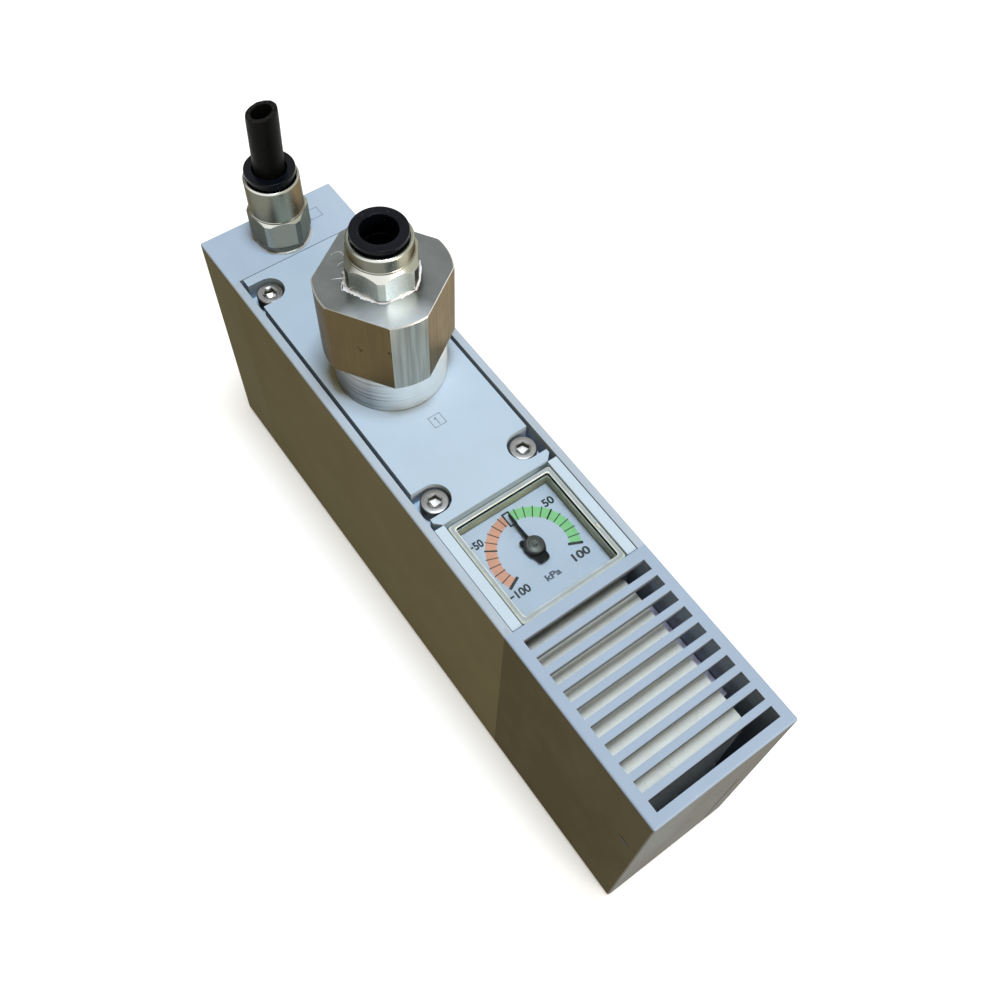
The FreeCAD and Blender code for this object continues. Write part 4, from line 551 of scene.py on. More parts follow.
# Operators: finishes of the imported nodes

class EJECTOR_OT_painted_shell(bpy.types.Operator):
    """Paint the housing, end cap, port plate, silencer cover and the strips beside the gauge"""

    bl_idname = "ejector.painted_shell"
    bl_label = "Painted shell"

    def execute(self, context):
        """Paints of four tones, each with its own grain and dust, and the finish of the two strips."""
        colours = context.scene.ejector_colours
        dust = tint(232, 236, 240)
        # Painted shade on the upright faces of the housing and the end cap: a warm darkening.
        marks = painted_side_shade(0.16, tint(150, 138, 112))
        housing = self.paint(
            "housing_paint", colours.housing, 0.93, (0.34, 0.46), grain=(3200.0, 0.35, 0.000010), extra=marks,
            specks=(700.0, 0.10, 0.10, tint(120, 124, 124)),
            scratches=(70.0, (1.0, 3.0, 0.35), 0.006, 0.42, tint(150, 158, 166)),
        )
        plate = self.paint(
            "plate_paint", colours.plate, 0.95, (0.36, 0.48), grain=(3200.0, 0.35, 0.000010),
            specks=(620.0, 0.09, 0.08, tint(140, 148, 156)),
            scratches=(90.0, (0.4, 2.0, 1.0), 0.005, 0.40, tint(170, 186, 200)),
        )
        cap = self.paint(
            "cap_paint", colours.cap, 0.93, (0.38, 0.50), grain=(2800.0, 0.5, 0.000014), extra=marks,
            specks=(800.0, 0.10, 0.09, dust),
        )
        # The cover's upright faces get a strong grey painted shade.
        cover = self.paint(
            "cover_plastic", colours.cover, 0.94, (0.42, 0.54), patch=45.0, grain=(2400.0, 0.6, 0.000020),
            specks=(760.0, 0.10, 0.12, dust), extra=painted_side_shade(0.55, tint(128, 124, 120)),
            scratches=(60.0, (0.5, 2.5, 1.0), 0.005, 0.40, tint(206, 214, 226)),
        )
        trim = self.paint(
            "trim_plastic", colours.trim, 0.96, (0.30, 0.40), grain=(2600.0, 0.4, 0.000008),
            specks=(900.0, 0.08, 0.05, tint(160, 170, 176)),
        )
        finishes = {
            housing: ("housing",), plate: ("port_plate",), cap: ("end_cap",), cover: ("silencer_cover",),
            trim: ("gauge_trim_left", "gauge_trim_right"),
        }
        dress_all(finishes)
        return {"FINISHED"}

    @staticmethod
    def paint(name, colour, share, rough, **settings):
        """A paint without gloss: its patches are a share of the colour."""
        return material(name, tuple(colour), darker(colour, share), rough, specular=0.0, **settings)


def painted_side_shade(amount, colour):
    """Painted shade on the upright faces: an even darkening, and streaks of it that run down."""

    def shaded_sides(tree, place, tone, roughness, relief):
        """The painted shade over a tone; roughness and relief stay."""
        upright = tree.maths("LESS_THAN", tree.maths("ABSOLUTE", tree.parts(tree.normal())[2]), 0.5)
        downward_patches = tree.group("patches", vector=tree.scaled(place, (1.0, 1.0, 0.45)), scale=38.0, spread=0.10)
        shade_share = tree.span(downward_patches, 0.0, 1.0, amount * 0.6, amount)
        return tree.between(tree.times(shade_share, upright), tone, colour), roughness, relief

    return shaded_sides


class EJECTOR_OT_inner_pieces(bpy.types.Operator):
    """Finish the pieces that the shell hides"""

    bl_idname = "ejector.inner_pieces"
    bl_label = "Inner pieces"

    def execute(self, context):
        """A finish for each material inside, and the nodes that are made of it."""
        colours = context.scene.ejector_colours
        steel = steel_finish(context)
        moulded = material(
            "diffuser_plastic", tint(226, 224, 214), tint(212, 208, 196), (0.36, 0.5),
            grain=(2000.0, 0.5, 0.00002), specks=(600.0, 0.1, 0.1, tint(180, 174, 160)),
        )
        seal = material(
            "seal_rubber", tint(44, 44, 46), tint(58, 58, 60), (0.5, 0.68), grain=(2200.0, 0.6, 0.00003),
            specks=(900.0, 0.12, 0.2, tint(90, 90, 90)),
        )
        flap = material(
            "flap_rubber", tint(120, 122, 126), tint(104, 106, 110), (0.5, 0.65),
            grain=(2200.0, 0.6, 0.00003), specks=(900.0, 0.12, 0.2, tint(150, 150, 150)),
        )
        fibre = material(
            "filter_felt", tint(196, 190, 176), tint(170, 164, 150), (0.8, 0.95), sheen=0.2,
            grain=(1500.0, 0.7, 0.00012), specks=(1200.0, 0.2, 0.3, tint(214, 210, 200)),
        )
        brass = material(
            "brass", tint(204, 170, 104), tint(186, 150, 86), (0.26, 0.4), metallic=1.0,
            lines=((middle("gauge_socket")[0], 0.0), 0.3, 0.6, 0.00001),
        )
        case = material(
            "case_plastic", tint(58, 58, 60), tint(48, 48, 50), (0.4, 0.55), grain=(2400.0, 0.5, 0.00002),
            specks=(800.0, 0.1, 0.1, tint(100, 100, 100)),
        )
        washer = material(
            "washer_zinc", tint(128, 124, 114), tint(104, 100, 90), (0.34, 0.48), metallic=1.0, patch=300.0,
            grain=(2200.0, 0.5, 0.00001), specks=(1200.0, 0.14, 0.2, tint(130, 126, 114)),
        )
        # The collets are near black as painted shade for the deep hole they sit in.
        dark = material(
            "spring_steel", tint(30, 29, 28), tint(20, 20, 20), (0.4, 0.55), metallic=1.0, patch=300.0,
            grain=(2200.0, 0.5, 0.00001), specks=(1200.0, 0.14, 0.2, tint(60, 58, 54)),
        )
        finishes = {
            moulded: ("drive_nozzle", "diffuser_first", "diffuser_second", "diffuser_third"),
            seal: (
                "end_cap_seal", "plate_seal", "adapter_seal", "nozzle_seal", "diffuser_seal_first",
                "diffuser_seal_second", "diffuser_seal_third", "vacuum_tube_seal", "supply_tube_seal",
                "gauge_washer",
            ),
            flap: ("check_flap_second", "check_flap_third"),
            fibre: ("suction_filter",),
            brass: (
                "gauge_socket", "pressure_tube", "movement_base", "movement_top", "sector_gear", "gauge_link",
                "passage_plug",
            ),
            steel: ("end_cap_screws", "cover_screws", "pointer_arbor"),
            dark: ("vacuum_collet", "supply_collet"),
            washer: ("supply_washer",),
            case: ("gauge_case",),
        }
        dress_all(finishes)
        dress("gauge_dial", material(
            "dial_paint", tuple(colours.dial), darker(colours.dial, 0.95), (0.4, 0.5), patch=30.0,
            grain=(3000.0, 0.4, 0.000004), specks=(1000.0, 0.08, 0.05, tint(150, 160, 176)),
        ))
        return {"FINISHED"}


def steel_finish(context):
    """Screw steel, made once."""
    known = bpy.data.materials.get("screw_steel")
    if known:
        return known
    steel = context.scene.ejector_colours.steel
    return material(
        "screw_steel", tuple(steel), darker(steel, 0.72), (0.24, 0.38), metallic=1.0, patch=400.0, spread=0.2,
        grain=(2200.0, 0.5, 0.00001), specks=(1500.0, 0.16, 0.22, tint(90, 84, 76)),
    )


# Operators: adapter, fittings, push rings and tube

class EJECTOR_OT_port_adapter(bpy.types.Operator):
    """Turn the port adapter: a neck and a head with four milled flats"""

    bl_idname = "ejector.port_adapter"
    bl_label = "Port adapter"

    flats = 28.0
    flat_turn = math.radians(33.2)
    head, neck, neck_height = 16.0, 14.0, 12.0
    thread, bore = 10.4, 7.0
    socket, socket_depth, throat = 6.53, 13.0, 5.0

    def execute(self, context):
        """The turned profile from the thread up the neck, the milled bar, and the profile of the socket."""
        low, high = corners("port_adapter")
        centre = middle("port_adapter")[:2]
        top = high[2]
        plate = corners("port_plate")[1][2]
        neck_top = plate + self.neck_height
        outside = softened([
            (self.bore, low[2]), (self.thread - 0.8, low[2]), (self.thread, low[2] + 0.8),
            (self.thread, plate), (self.neck, plate), (self.neck, neck_top), (self.neck + 0.02, neck_top),
        ], 0.14, 3, closed=False)
        floor = top - self.socket_depth
        inside = softened([
            (self.neck, top), (self.socket + 0.07, top), (self.socket, top - 0.3), (self.socket, floor),
            (self.throat, floor), (self.throat, floor - 2.0), (self.bore, floor - 4.0), (self.bore, low[2]),
        ], 0.05, 3, closed=False)
        limit = math.acos(self.flats / 2 / self.head)
        angles = corner_angles(4, self.flat_turn, limit, 40)
        ends = ((neck_top, self.neck + 0.02, 0.12), (top, self.head - 0.3, -0.3))
        bar = chamfered_bar(angles, self.flats, 4, self.flat_turn, self.head, ends)
        bevel = self.bevel(bar.pop(), bar.pop(), top)
        rows = [*outside, *bar, *bevel, *inside[1:]]
        shape = Shape()
        shape.grid(turned_grid(rows, centre, angles), around=True)
        finish = adapter_metal(tuple(context.scene.ejector_colours.aluminium), centre, plate, neck_top)
        shape.build(
            "port_adapter_turned", [finish], "ejector", ["port_adapter"], sharp=18,
        )
        return {"FINISHED"}

    @staticmethod
    def bevel(last, wall, top):
        """Rows of the bar's upper edge: where a flat goes up to the top, a fine bevel breaks it."""
        broken = 0.14
        radius, height = wall
        height = np.minimum(height, top - broken)
        inner = np.minimum(last[0], radius - broken)
        return [(radius, height), (inner, last[1])]


def adapter_metal(colour, centre, plate, neck_top):
    """Bare aluminium: turned marks on the neck and the top, milled streaks and pits on the head, and painted
    reflections, highlights and shade.
    """

    def machined(tree, place, tone, roughness, relief):
        """Marks of the lathe and the mill, with painted reflections, highlights and shade by the way each
        surface faces.
        """
        height = tree.parts(place)[2]
        on_neck = tree.maths("LESS_THAN", height, neck_top * MM)
        on_head = tree.maths("SUBTRACT", 1.0, on_neck)
        up = tree.upward(0.6, 0.9)
        moved = tree.from_axis(place, centre)
        rings = tree.group("turned lines", vector=moved, pitch=1.5 * MM, waver=0.9)
        fine = tree.group("turned lines", vector=moved, pitch=0.22 * MM, waver=0.7)
        streaks = tree.noise(tree.scaled(place, (1.0, 1.0, 0.03)), 1100.0, 3.0, 0.6)
        relief = tree.plus(relief, tree.times(tree.times(rings, on_neck), 0.00016))
        relief = tree.plus(relief, tree.times(tree.times(fine, on_head), 0.000008))
        # Painted reflections: a brown or grey tone on each flat and corner of the head, by the way it faces.
        sides = tree.bands(
            tone, (-101.8, 0.80, 0.99, tint(74, 64, 47)), (-11.8, 0.80, 0.94, tint(184, 182, 170)),
            (33.2, 0.93, 0.99, tint(124, 108, 82)), (78.2, 0.86, 0.97, tint(112, 106, 90)),
            (123.2, 0.93, 0.99, tint(118, 104, 78)), (168.2, 0.86, 0.97, tint(134, 140, 136)),
            (213.2, 0.93, 0.99, tint(104, 92, 68)),
        )
        # Milled streaks, stronger and brighter where the head faces 12°: real texture with painted
        # reflection.
        streak = tree.between(tree.span(streaks, 0.40, 0.64), (0.74, 0.74, 0.74), (1.20, 1.20, 1.20))
        strength = tree.plus(0.2, tree.times(tree.facing(12.0, 0.6, 0.9), 0.6))
        mixed = {0: strength, 6: sides, 7: streak}
        sides = tree.add("Mix", mixed, data_type="RGBA", blend_type="MULTIPLY").outputs[2]
        # Painted reflections round the neck, with a near-white painted highlight where it faces 10°.
        neck = tree.bands(
            tint(132, 134, 130),
            (-75.0, 0.70, 0.98, tint(146, 148, 148)), (-30.0, 0.60, 0.98, tint(178, 182, 184)),
            (10.0, 0.45, 0.90, tint(255, 255, 252)), (150.0, 0.60, 0.98, tint(190, 196, 200)),
        )
        # Turned grooves darkened only where the neck faces -88°: real grooves with painted shade.
        groove = tree.times(tree.span(rings, 0.50, 0.58), tree.facing(-88, 0.50, 0.85))
        neck = tree.between(tree.times(groove, 0.75), neck, tint(92, 94, 98))
        cloud = tree.group("patches", vector=place, scale=160.0, spread=0.2)
        face = tree.between(cloud, tint(108, 112, 111), tint(122, 125, 123))
        # A painted highlight on the top face: a bright wedge from the axis towards -29°.
        parts = tree.parts(moved)
        ahead = tree.plus(tree.times(parts[0], 0.875), tree.times(parts[1], -0.484))
        across = tree.plus(tree.times(parts[0], 0.484), tree.times(parts[1], 0.875))
        slope = tree.maths("DIVIDE", tree.maths("ABSOLUTE", across), tree.maths("MAXIMUM", ahead, 0.0001))
        glint = tree.times(tree.span(slope, 1.1, 0.1), tree.span(ahead, 0.004, 0.011))
        face = tree.between(glint, face, tint(214, 224, 232))
        tone = tree.between(up, tree.between(on_neck, sides, neck), face)
        # A painted highlight along the top bevel, strongest on the side facing 33.2°.
        edge = tree.times(tree.upward(0.2, 0.4), tree.upward(0.94, 0.86))
        painted_light = tree.plus(0.3, tree.times(tree.facing(33.2, 0.5, 0.66), 0.6))
        tone = tree.between(tree.times(edge, painted_light), tone, tint(250, 246, 236))
        # Painted shade: a dark ring at the foot of the neck, where it meets the plate.
        foot = tree.maths("LESS_THAN", height, (plate + 0.16) * MM)
        tone = tree.between(foot, tone, tint(34, 42, 54))
        roughness = tree.plus(roughness, tree.times(on_neck, 0.10))
        return tone, roughness, relief

    return material(
        "machined_aluminium", colour, darker(colour, 0.86), (0.26, 0.38), metallic=1.0,
        patch=120.0, spread=0.22, grain=(2600.0, 0.5, 0.000004), specks=(330.0, 0.22, 0.26, tint(34, 28, 20)),
        slant=(0.62, 0.60, 0.56), extra=machined,
    )


class EJECTOR_OT_fittings(bpy.types.Operator):
    """Make the hexagon bodies of the two push-in fittings"""

    bl_idname = "ejector.fittings"
    bl_label = "Fitting bodies"

    # Each pair under "sides" is painted light on the hexagon's two seen sides, left then right.
    sizes = {
        "vacuum": {
            "flats": 16.0, "tall": 7.6, "drop": 1.6, "body": 7.45, "corner": -33.2, "thread": 6.5,
            "sides": (tint(176, 178, 170), tint(250, 250, 238)),
        },
        "supply": {
            "flats": 14.6, "tall": 8.4, "drop": 0.7, "body": 7.15, "corner": -48.6, "thread": 4.8,
            "sides": (tint(132, 126, 112), tint(176, 168, 148)),
        },
    }
    corner_cut, foot_rise = 0.45, 0.6
    air_way, guide, guide_depth = 3.0, 4.1, 4.0
    mouth, mouth_depth, lip, lip_depth = 6.55, 1.6, 5.25, 2.4

    def execute(self, context):
        """The thread's profile, the chamfered hexagon, and the profile of the round body and its bore."""
        nickel = tuple(context.scene.ejector_colours.nickel)
        feet = {"vacuum": corners("port_adapter")[1][2], "supply": corners("supply_washer")[1][2]}
        for port, size in self.sizes.items():
            node = port + "_fitting_body"
            low, high = corners(node)
            seal_low, seal_high = corners(port + "_tube_seal")
            foot, rim, body, thread = feet[port], high[2], size["body"], size["thread"]
            top = foot + size["tall"]
            corner = size["flats"] / math.sqrt(3) - self.corner_cut
            inner = size["flats"] / 2 - 0.15
            outside = softened([
                (self.air_way, low[2]), (thread - 0.6, low[2]), (thread, low[2] + 0.6),
                (thread, foot), (inner, foot),
            ], 0.1, 2, closed=False)
            side_turn = math.radians(size["corner"] + 30)
            limit = math.acos(size["flats"] / 2 / corner)
            angles = corner_angles(6, side_turn, limit, 26)
            ends = ((foot, inner, self.foot_rise), (top, body, -size["drop"]))
            bar = chamfered_bar(angles, size["flats"], 6, side_turn, corner, ends)
            bore = (seal_high[0] - seal_low[0]) / 2
            step, ledge, stop = rim - self.mouth_depth, rim - self.lip_depth, seal_low[2] - self.guide_depth
            inside = softened([
                (body + 0.16, top + 0.02), (body + 0.14, top + 0.35), (body, top + 0.55), (body, rim - 0.4),
                (body - 0.4, rim), (self.mouth, rim), (self.mouth, step), (self.lip, step), (self.lip, ledge),
                (bore, ledge), (bore, seal_low[2]), (self.guide, seal_low[2]), (self.guide, stop),
                (self.air_way, stop), (self.air_way, low[2]),
            ], 0.12, 3, closed=False)
            rows = [*outside[:-1], *bar, *inside]
            shape = Shape()
            shape.grid(turned_grid(rows, middle(node)[:2], angles), around=True)
            finish = self.plated(port, node, nickel, size, foot)
            shape.build(port + "_fitting_hexagon", [finish], "ejector", [node], sharp=15)
        return {"FINISHED"}

    @staticmethod
    def plated(port, node, nickel, size, foot):
        """Nickel plate with painted light: olive painted shade, pale painted highlight bands, the two seen
        sides of the hexagon painted apart, and painted shade in the bore.
        """
        left, right = size["corner"] - 30, size["corner"] + 30

        def shaded(tree, place, tone, roughness, relief):
            """Bands of painted reflection and highlight round the body and the hexagon, and painted shade in
            the bore.
            """
            height = tree.parts(place)[2]
            # Painted reflections and highlights round the round body, by the way it faces.
            barrel = tree.bands(
                tone,
                (left - 40, 0.70, 0.98, tint(92, 84, 66)), (size["corner"], 0.88, 1.0, tint(112, 113, 103)),
                (right + 12, 0.90, 0.99, tint(164, 162, 142)), (right + 50, 0.86, 0.98, tint(120, 106, 84)),
                (left + 180, 0.8, 0.98, tint(150, 148, 134)),
            )
            # Painted light on the hexagon: each side a lighter or darker tone by the way it faces.
            sides = tree.bands(
                tone,
                (size["corner"], 0.97, 1.0, tint(176, 176, 162)),
                (left, 0.94, 0.99, size["sides"][0]), (right, 0.94, 0.99, size["sides"][1]),
                (left - 60, 0.94, 0.99, tint(116, 116, 108)), (right + 60, 0.94, 0.99, tint(150, 148, 132)),
                (left + 180, 0.94, 0.99, tint(140, 140, 128)), (right + 180, 0.94, 0.99, tint(120, 116, 100)),
            )
            above = tree.maths("GREATER_THAN", height, (foot + size["tall"] + 0.05) * MM)
            tone = tree.between(above, sides, barrel)
            # Painted highlights on the chamfer cone: bright crescents towards one side.
            cone = tree.bands(
                tint(140, 142, 131), (left - 30, 0.30, 0.62, tint(104, 104, 94)),
                (right - 26, 0.40, 0.66, tint(226, 228, 220)), (right + 60, 0.3, 0.6, tint(168, 168, 152)),
            )
            tone = tree.between(tree.upward(0.35, 0.6), tone, cone)
            # Painted shade: within 6.3 mm of the axis, down the bore, the tone goes near black.
            flat = tree.scaled(tree.from_axis(place, middle(node)), (1.0, 1.0, 0.0))
            reach = tree.add("VectorMath", {0: flat}, operation="LENGTH").outputs["Value"]
            inside = tree.maths("LESS_THAN", reach, 6.3 * MM)
            return tree.between(inside, tone, tint(16, 16, 15)), roughness, relief

        return material(
            port + "_nickel", nickel, darker(nickel, 0.88), (0.22, 0.34), metallic=1.0,
            patch=150.0, spread=0.2, grain=(2400.0, 0.6, 0.000002),
            specks=(900.0, 0.10, 0.05, tint(96, 90, 74)), slant=(0.5, 0.5, 0.46), extra=shaded,
        )


class EJECTOR_OT_push_rings(bpy.types.Operator):
    """Mould the push rings, each a broad tier over a narrower one"""

    bl_idname = "ejector.push_rings"
    bl_label = "Push rings"

    radii = (4.3, 4.95, 6.25, 6.52)

    def execute(self, context):
        """A profile of two tiers over a sleeve, its corners rounded, spun round the port's axis."""
        colour = tuple(context.scene.ejector_colours.rings)
        # The pale specks on the rings are partly dust and partly painted highlights.
        finish = material(
            "ring_plastic", colour, tint(10, 14, 22), (0.22, 0.34), patch=220.0,
            grain=(1800.0, 0.5, 0.000010), specks=(1300.0, 0.14, 0.07, tint(120, 128, 138)),
            scratches=(260.0, (1.0, 1.0, 1.0), 0.012, 0.42, tint(50, 56, 66)), specular=0.12,
        )
        for port in ("vacuum", "supply"):
            node = port + "_push_ring"
            low, high = corners(node)
            top = high[2] - 0.04
            bore, sleeve, lower, upper = self.radii
            profile = [
                (bore, low[2]), (sleeve - 0.15, low[2]), (sleeve, low[2] + 0.3), (sleeve, top - 2.56),
                (lower, top - 2.56), (lower, top - 1.3), (upper, top - 1.05), (upper, top - 0.12),
                (upper - 0.12, top), (bore + 0.2, top), (bore, top - 0.2),
            ]
            shape = Shape()
            rows = softened(profile, 0.08, 3)
            shape.grid(turned_grid(rows, middle(node)[:2], even_angles(160)), around=True, along=True)
            self.dashes(shape, middle(node)[:2], top)
            shape.build(port + "_ring_moulded", [finish], port + "_ring", [node], sharp=30)
        return {"FINISHED"}

    @staticmethod
    def dashes(shape, centre, top):
        """Small raised dashes on the ring's face: short arcs of a low rounded bar."""
        across = np.linspace(0, math.pi, 7)[:, None]
        for start in np.radians([18, 44, 158, 184, 302]):
            angle = start + np.linspace(0, 0.16, 7)
            radius = 5.45 + 0.16 * np.cos(across)
            height = top - 0.02 + 0.05 * np.sin(across)
            shape.grid(ring(centre, radius, angle, height), along=True)


class EJECTOR_OT_supply_tube(bpy.types.Operator):
    """Draw the cut-off air tube: it leans a little, and its end is cut at a slant"""

    bl_idname = "ejector.supply_tube"
    bl_label = "Supply tube"

    bore, radius = 2.6, 4.0
    bend = 0.6
    lean, lean_turn = math.radians(4.0), math.radians(113.7)
    slant, slant_turn = math.radians(12.8), math.radians(48.6)
    end_height = 39.5

    def execute(self, context):
        """Rings round an axis that is upright up to the bend and leans from there on. At the
        cut end each point lies where its line along the tube meets the slanted plane."""
        low = corners("supply_tube")[0]
        collar = corners("supply_push_ring")[1][2]
        base = np.array([*middle("supply_fitting_body")[:2], collar + self.bend])
        angles = even_angles(96)
        inside, outside = self.bore, self.radius
        rounds = [
            (outside, 0.0), (outside, 0.5), (outside, 0.92), (outside - 0.06, 0.985), (outside - 0.1, 1.0),
            (inside + 0.1, 1.0), (inside + 0.02, 0.97), (inside, 0.5), (inside, 0.0),
        ]
        rows = [ring(base, radius, angles, low[2]) for radius in (inside, outside)]
        rows += [self.leaning(radius, share, base, angles) for radius, share in rounds]
        colour = tuple(context.scene.ejector_colours.tube)
        finish = material(
            "tube_plastic", colour, tint(17, 17, 15), (0.36, 0.52), grain=(1600.0, 0.5, 0.00002), patch=200.0,
            specks=(700.0, 0.12, 0.10, tint(58, 54, 48)), specular=0.06,
            scratches=(180.0, (1.0, 1.0, 0.12), 0.02, 0.5, tint(46, 44, 42)),
        )
        shape = Shape()
        shape.grid(np.array(rows), around=True, along=True)
        shape.build("supply_tube_cut", [finish], "ejector", ["supply_tube"], sharp=40)
        return {"FINISHED"}

    def leaning(self, radius, share, base, angles):
        """A ring round the leaning part, at a share of the way from the bend to the cut plane."""
        way = np.array([math.cos(self.lean_turn), math.sin(self.lean_turn), 0.0])
        level = np.array([-way[1], way[0], 0.0])
        upward = np.array([0.0, 0.0, 1.0])
        axis = way * math.sin(self.lean) + upward * math.cos(self.lean)
        tilted = way * math.cos(self.lean) - upward * math.sin(self.lean)
        around = angles[:, None] - self.lean_turn
        spots = base + radius * (np.cos(around) * tilted + np.sin(around) * level)
        uphill = np.array([math.cos(self.slant_turn), math.sin(self.slant_turn), 0.0])
        normal = upward * math.cos(self.slant) - uphill * math.sin(self.slant)
        face = corners("end_cap")[1][2]
        rise = face + self.end_height - base[2]
        tip = base + axis * rise / math.cos(self.lean)
        mitre = way * math.sin(self.lean / 2) + upward * math.cos(self.lean / 2)
        start = (base - spots) @ mitre / (axis @ mitre)
        reach = (tip - spots) @ normal / (axis @ normal)
        waver = 0.035 * np.sin(7 * angles) + 0.03 * np.sin(13 * angles + 1.3) - 0.07
        travel = start + (reach + waver - start) * share
        return spots + travel[:, None] * axis


# Operators: screws, tape and sealant

class EJECTOR_OT_plate_screws(bpy.types.Operator):
    """Make the four socket screws of the port plate"""

    bl_idname = "ejector.plate_screws"
    bl_label = "Plate screws"

    head, head_height, shank, socket = 3.5, 4.0, 2.0, 3.0

    def execute(self, context):
        """Loops from the shank over the knurled head, whose radius ripples with the angle, into
        the socket, where the loop goes from a circle to a hexagon."""
        low, high = corners("plate_screws")
        angles = even_angles(160)
        knurl = 0.07 * np.cos(40 * angles)
        hexagon = polygon_radius(angles, self.socket, 6, math.pi / 6)
        top = high[2]
        seat = top - self.head_height
        head, shank = self.head, self.shank
        below = [(shank - 0.4, low[2]), (shank, low[2] + 0.4), (shank, seat)]
        below += [(head - 0.2, seat), (head, seat + 0.2)]
        rough = [(head - 0.06 + knurl, height) for height in np.linspace(seat + 0.4, top - 0.75, 4)]
        above = [(head, top - 0.6), (head - 0.06, top - 0.3), (head - 0.3, top - 0.06), (head - 0.5, top)]
        mouth = [(2.05, top), (1.9, top - 0.08)]
        inside = [(hexagon + 0.03, top - 0.3), (hexagon, top - 0.5), (hexagon, top - 1.9)]
        drill = [(hexagon * 0.93, top - 2.0), (0.05, top - 2.6)]
        rows = [*below, *rough, *above, *mouth, *inside, *drill]
        shape = Shape()
        for x in (low[0] + head, high[0] - head):
            for y in (low[1] + head, high[1] - head):
                shape.grid(turned_grid(rows, (x, y), angles + 0.4 * x + 0.9 * y), around=True, capped=True)
        finish = self.head_finish(tuple(context.scene.ejector_colours.steel), top)
        shape.build("plate_screw_heads", [finish], "ejector", ["plate_screws"])
        return {"FINISHED"}

    @staticmethod
    def head_finish(steel, top):
        """Zinc plate, with painted shade on the knurl and the socket's walls, and a painted highlight on the
        socket's floor.
        """

        def painted_light(tree, place, tone, roughness, relief):
            """Painted shade and a bright painted floor, by height and slope."""
            height = tree.parts(place)[2]
            deep = tree.maths("LESS_THAN", height, (top - 1.7) * MM)
            up = tree.upward(0.3, 0.75)
            # Painted highlight: the socket's floor, deep and facing up, is made bright.
            tone = tree.between(tree.times(deep, up), tone, tint(222, 224, 222))
            # Painted shade: every face that does not face up takes a dark patchy tone.
            cloud = tree.group("patches", vector=place, scale=900.0, spread=0.2)
            painted_shade_tone = tree.between(cloud, tint(58, 54, 46), tint(96, 92, 84))
            return tree.between(up, painted_shade_tone, tone), roughness, relief

        return material(
            "screw_heads", steel, darker(steel, 0.84), (0.26, 0.40), metallic=1.0, patch=400.0, spread=0.2,
            grain=(2200.0, 0.5, 0.000006), specks=(1500.0, 0.16, 0.20, tint(92, 86, 76)), extra=painted_light,
        )


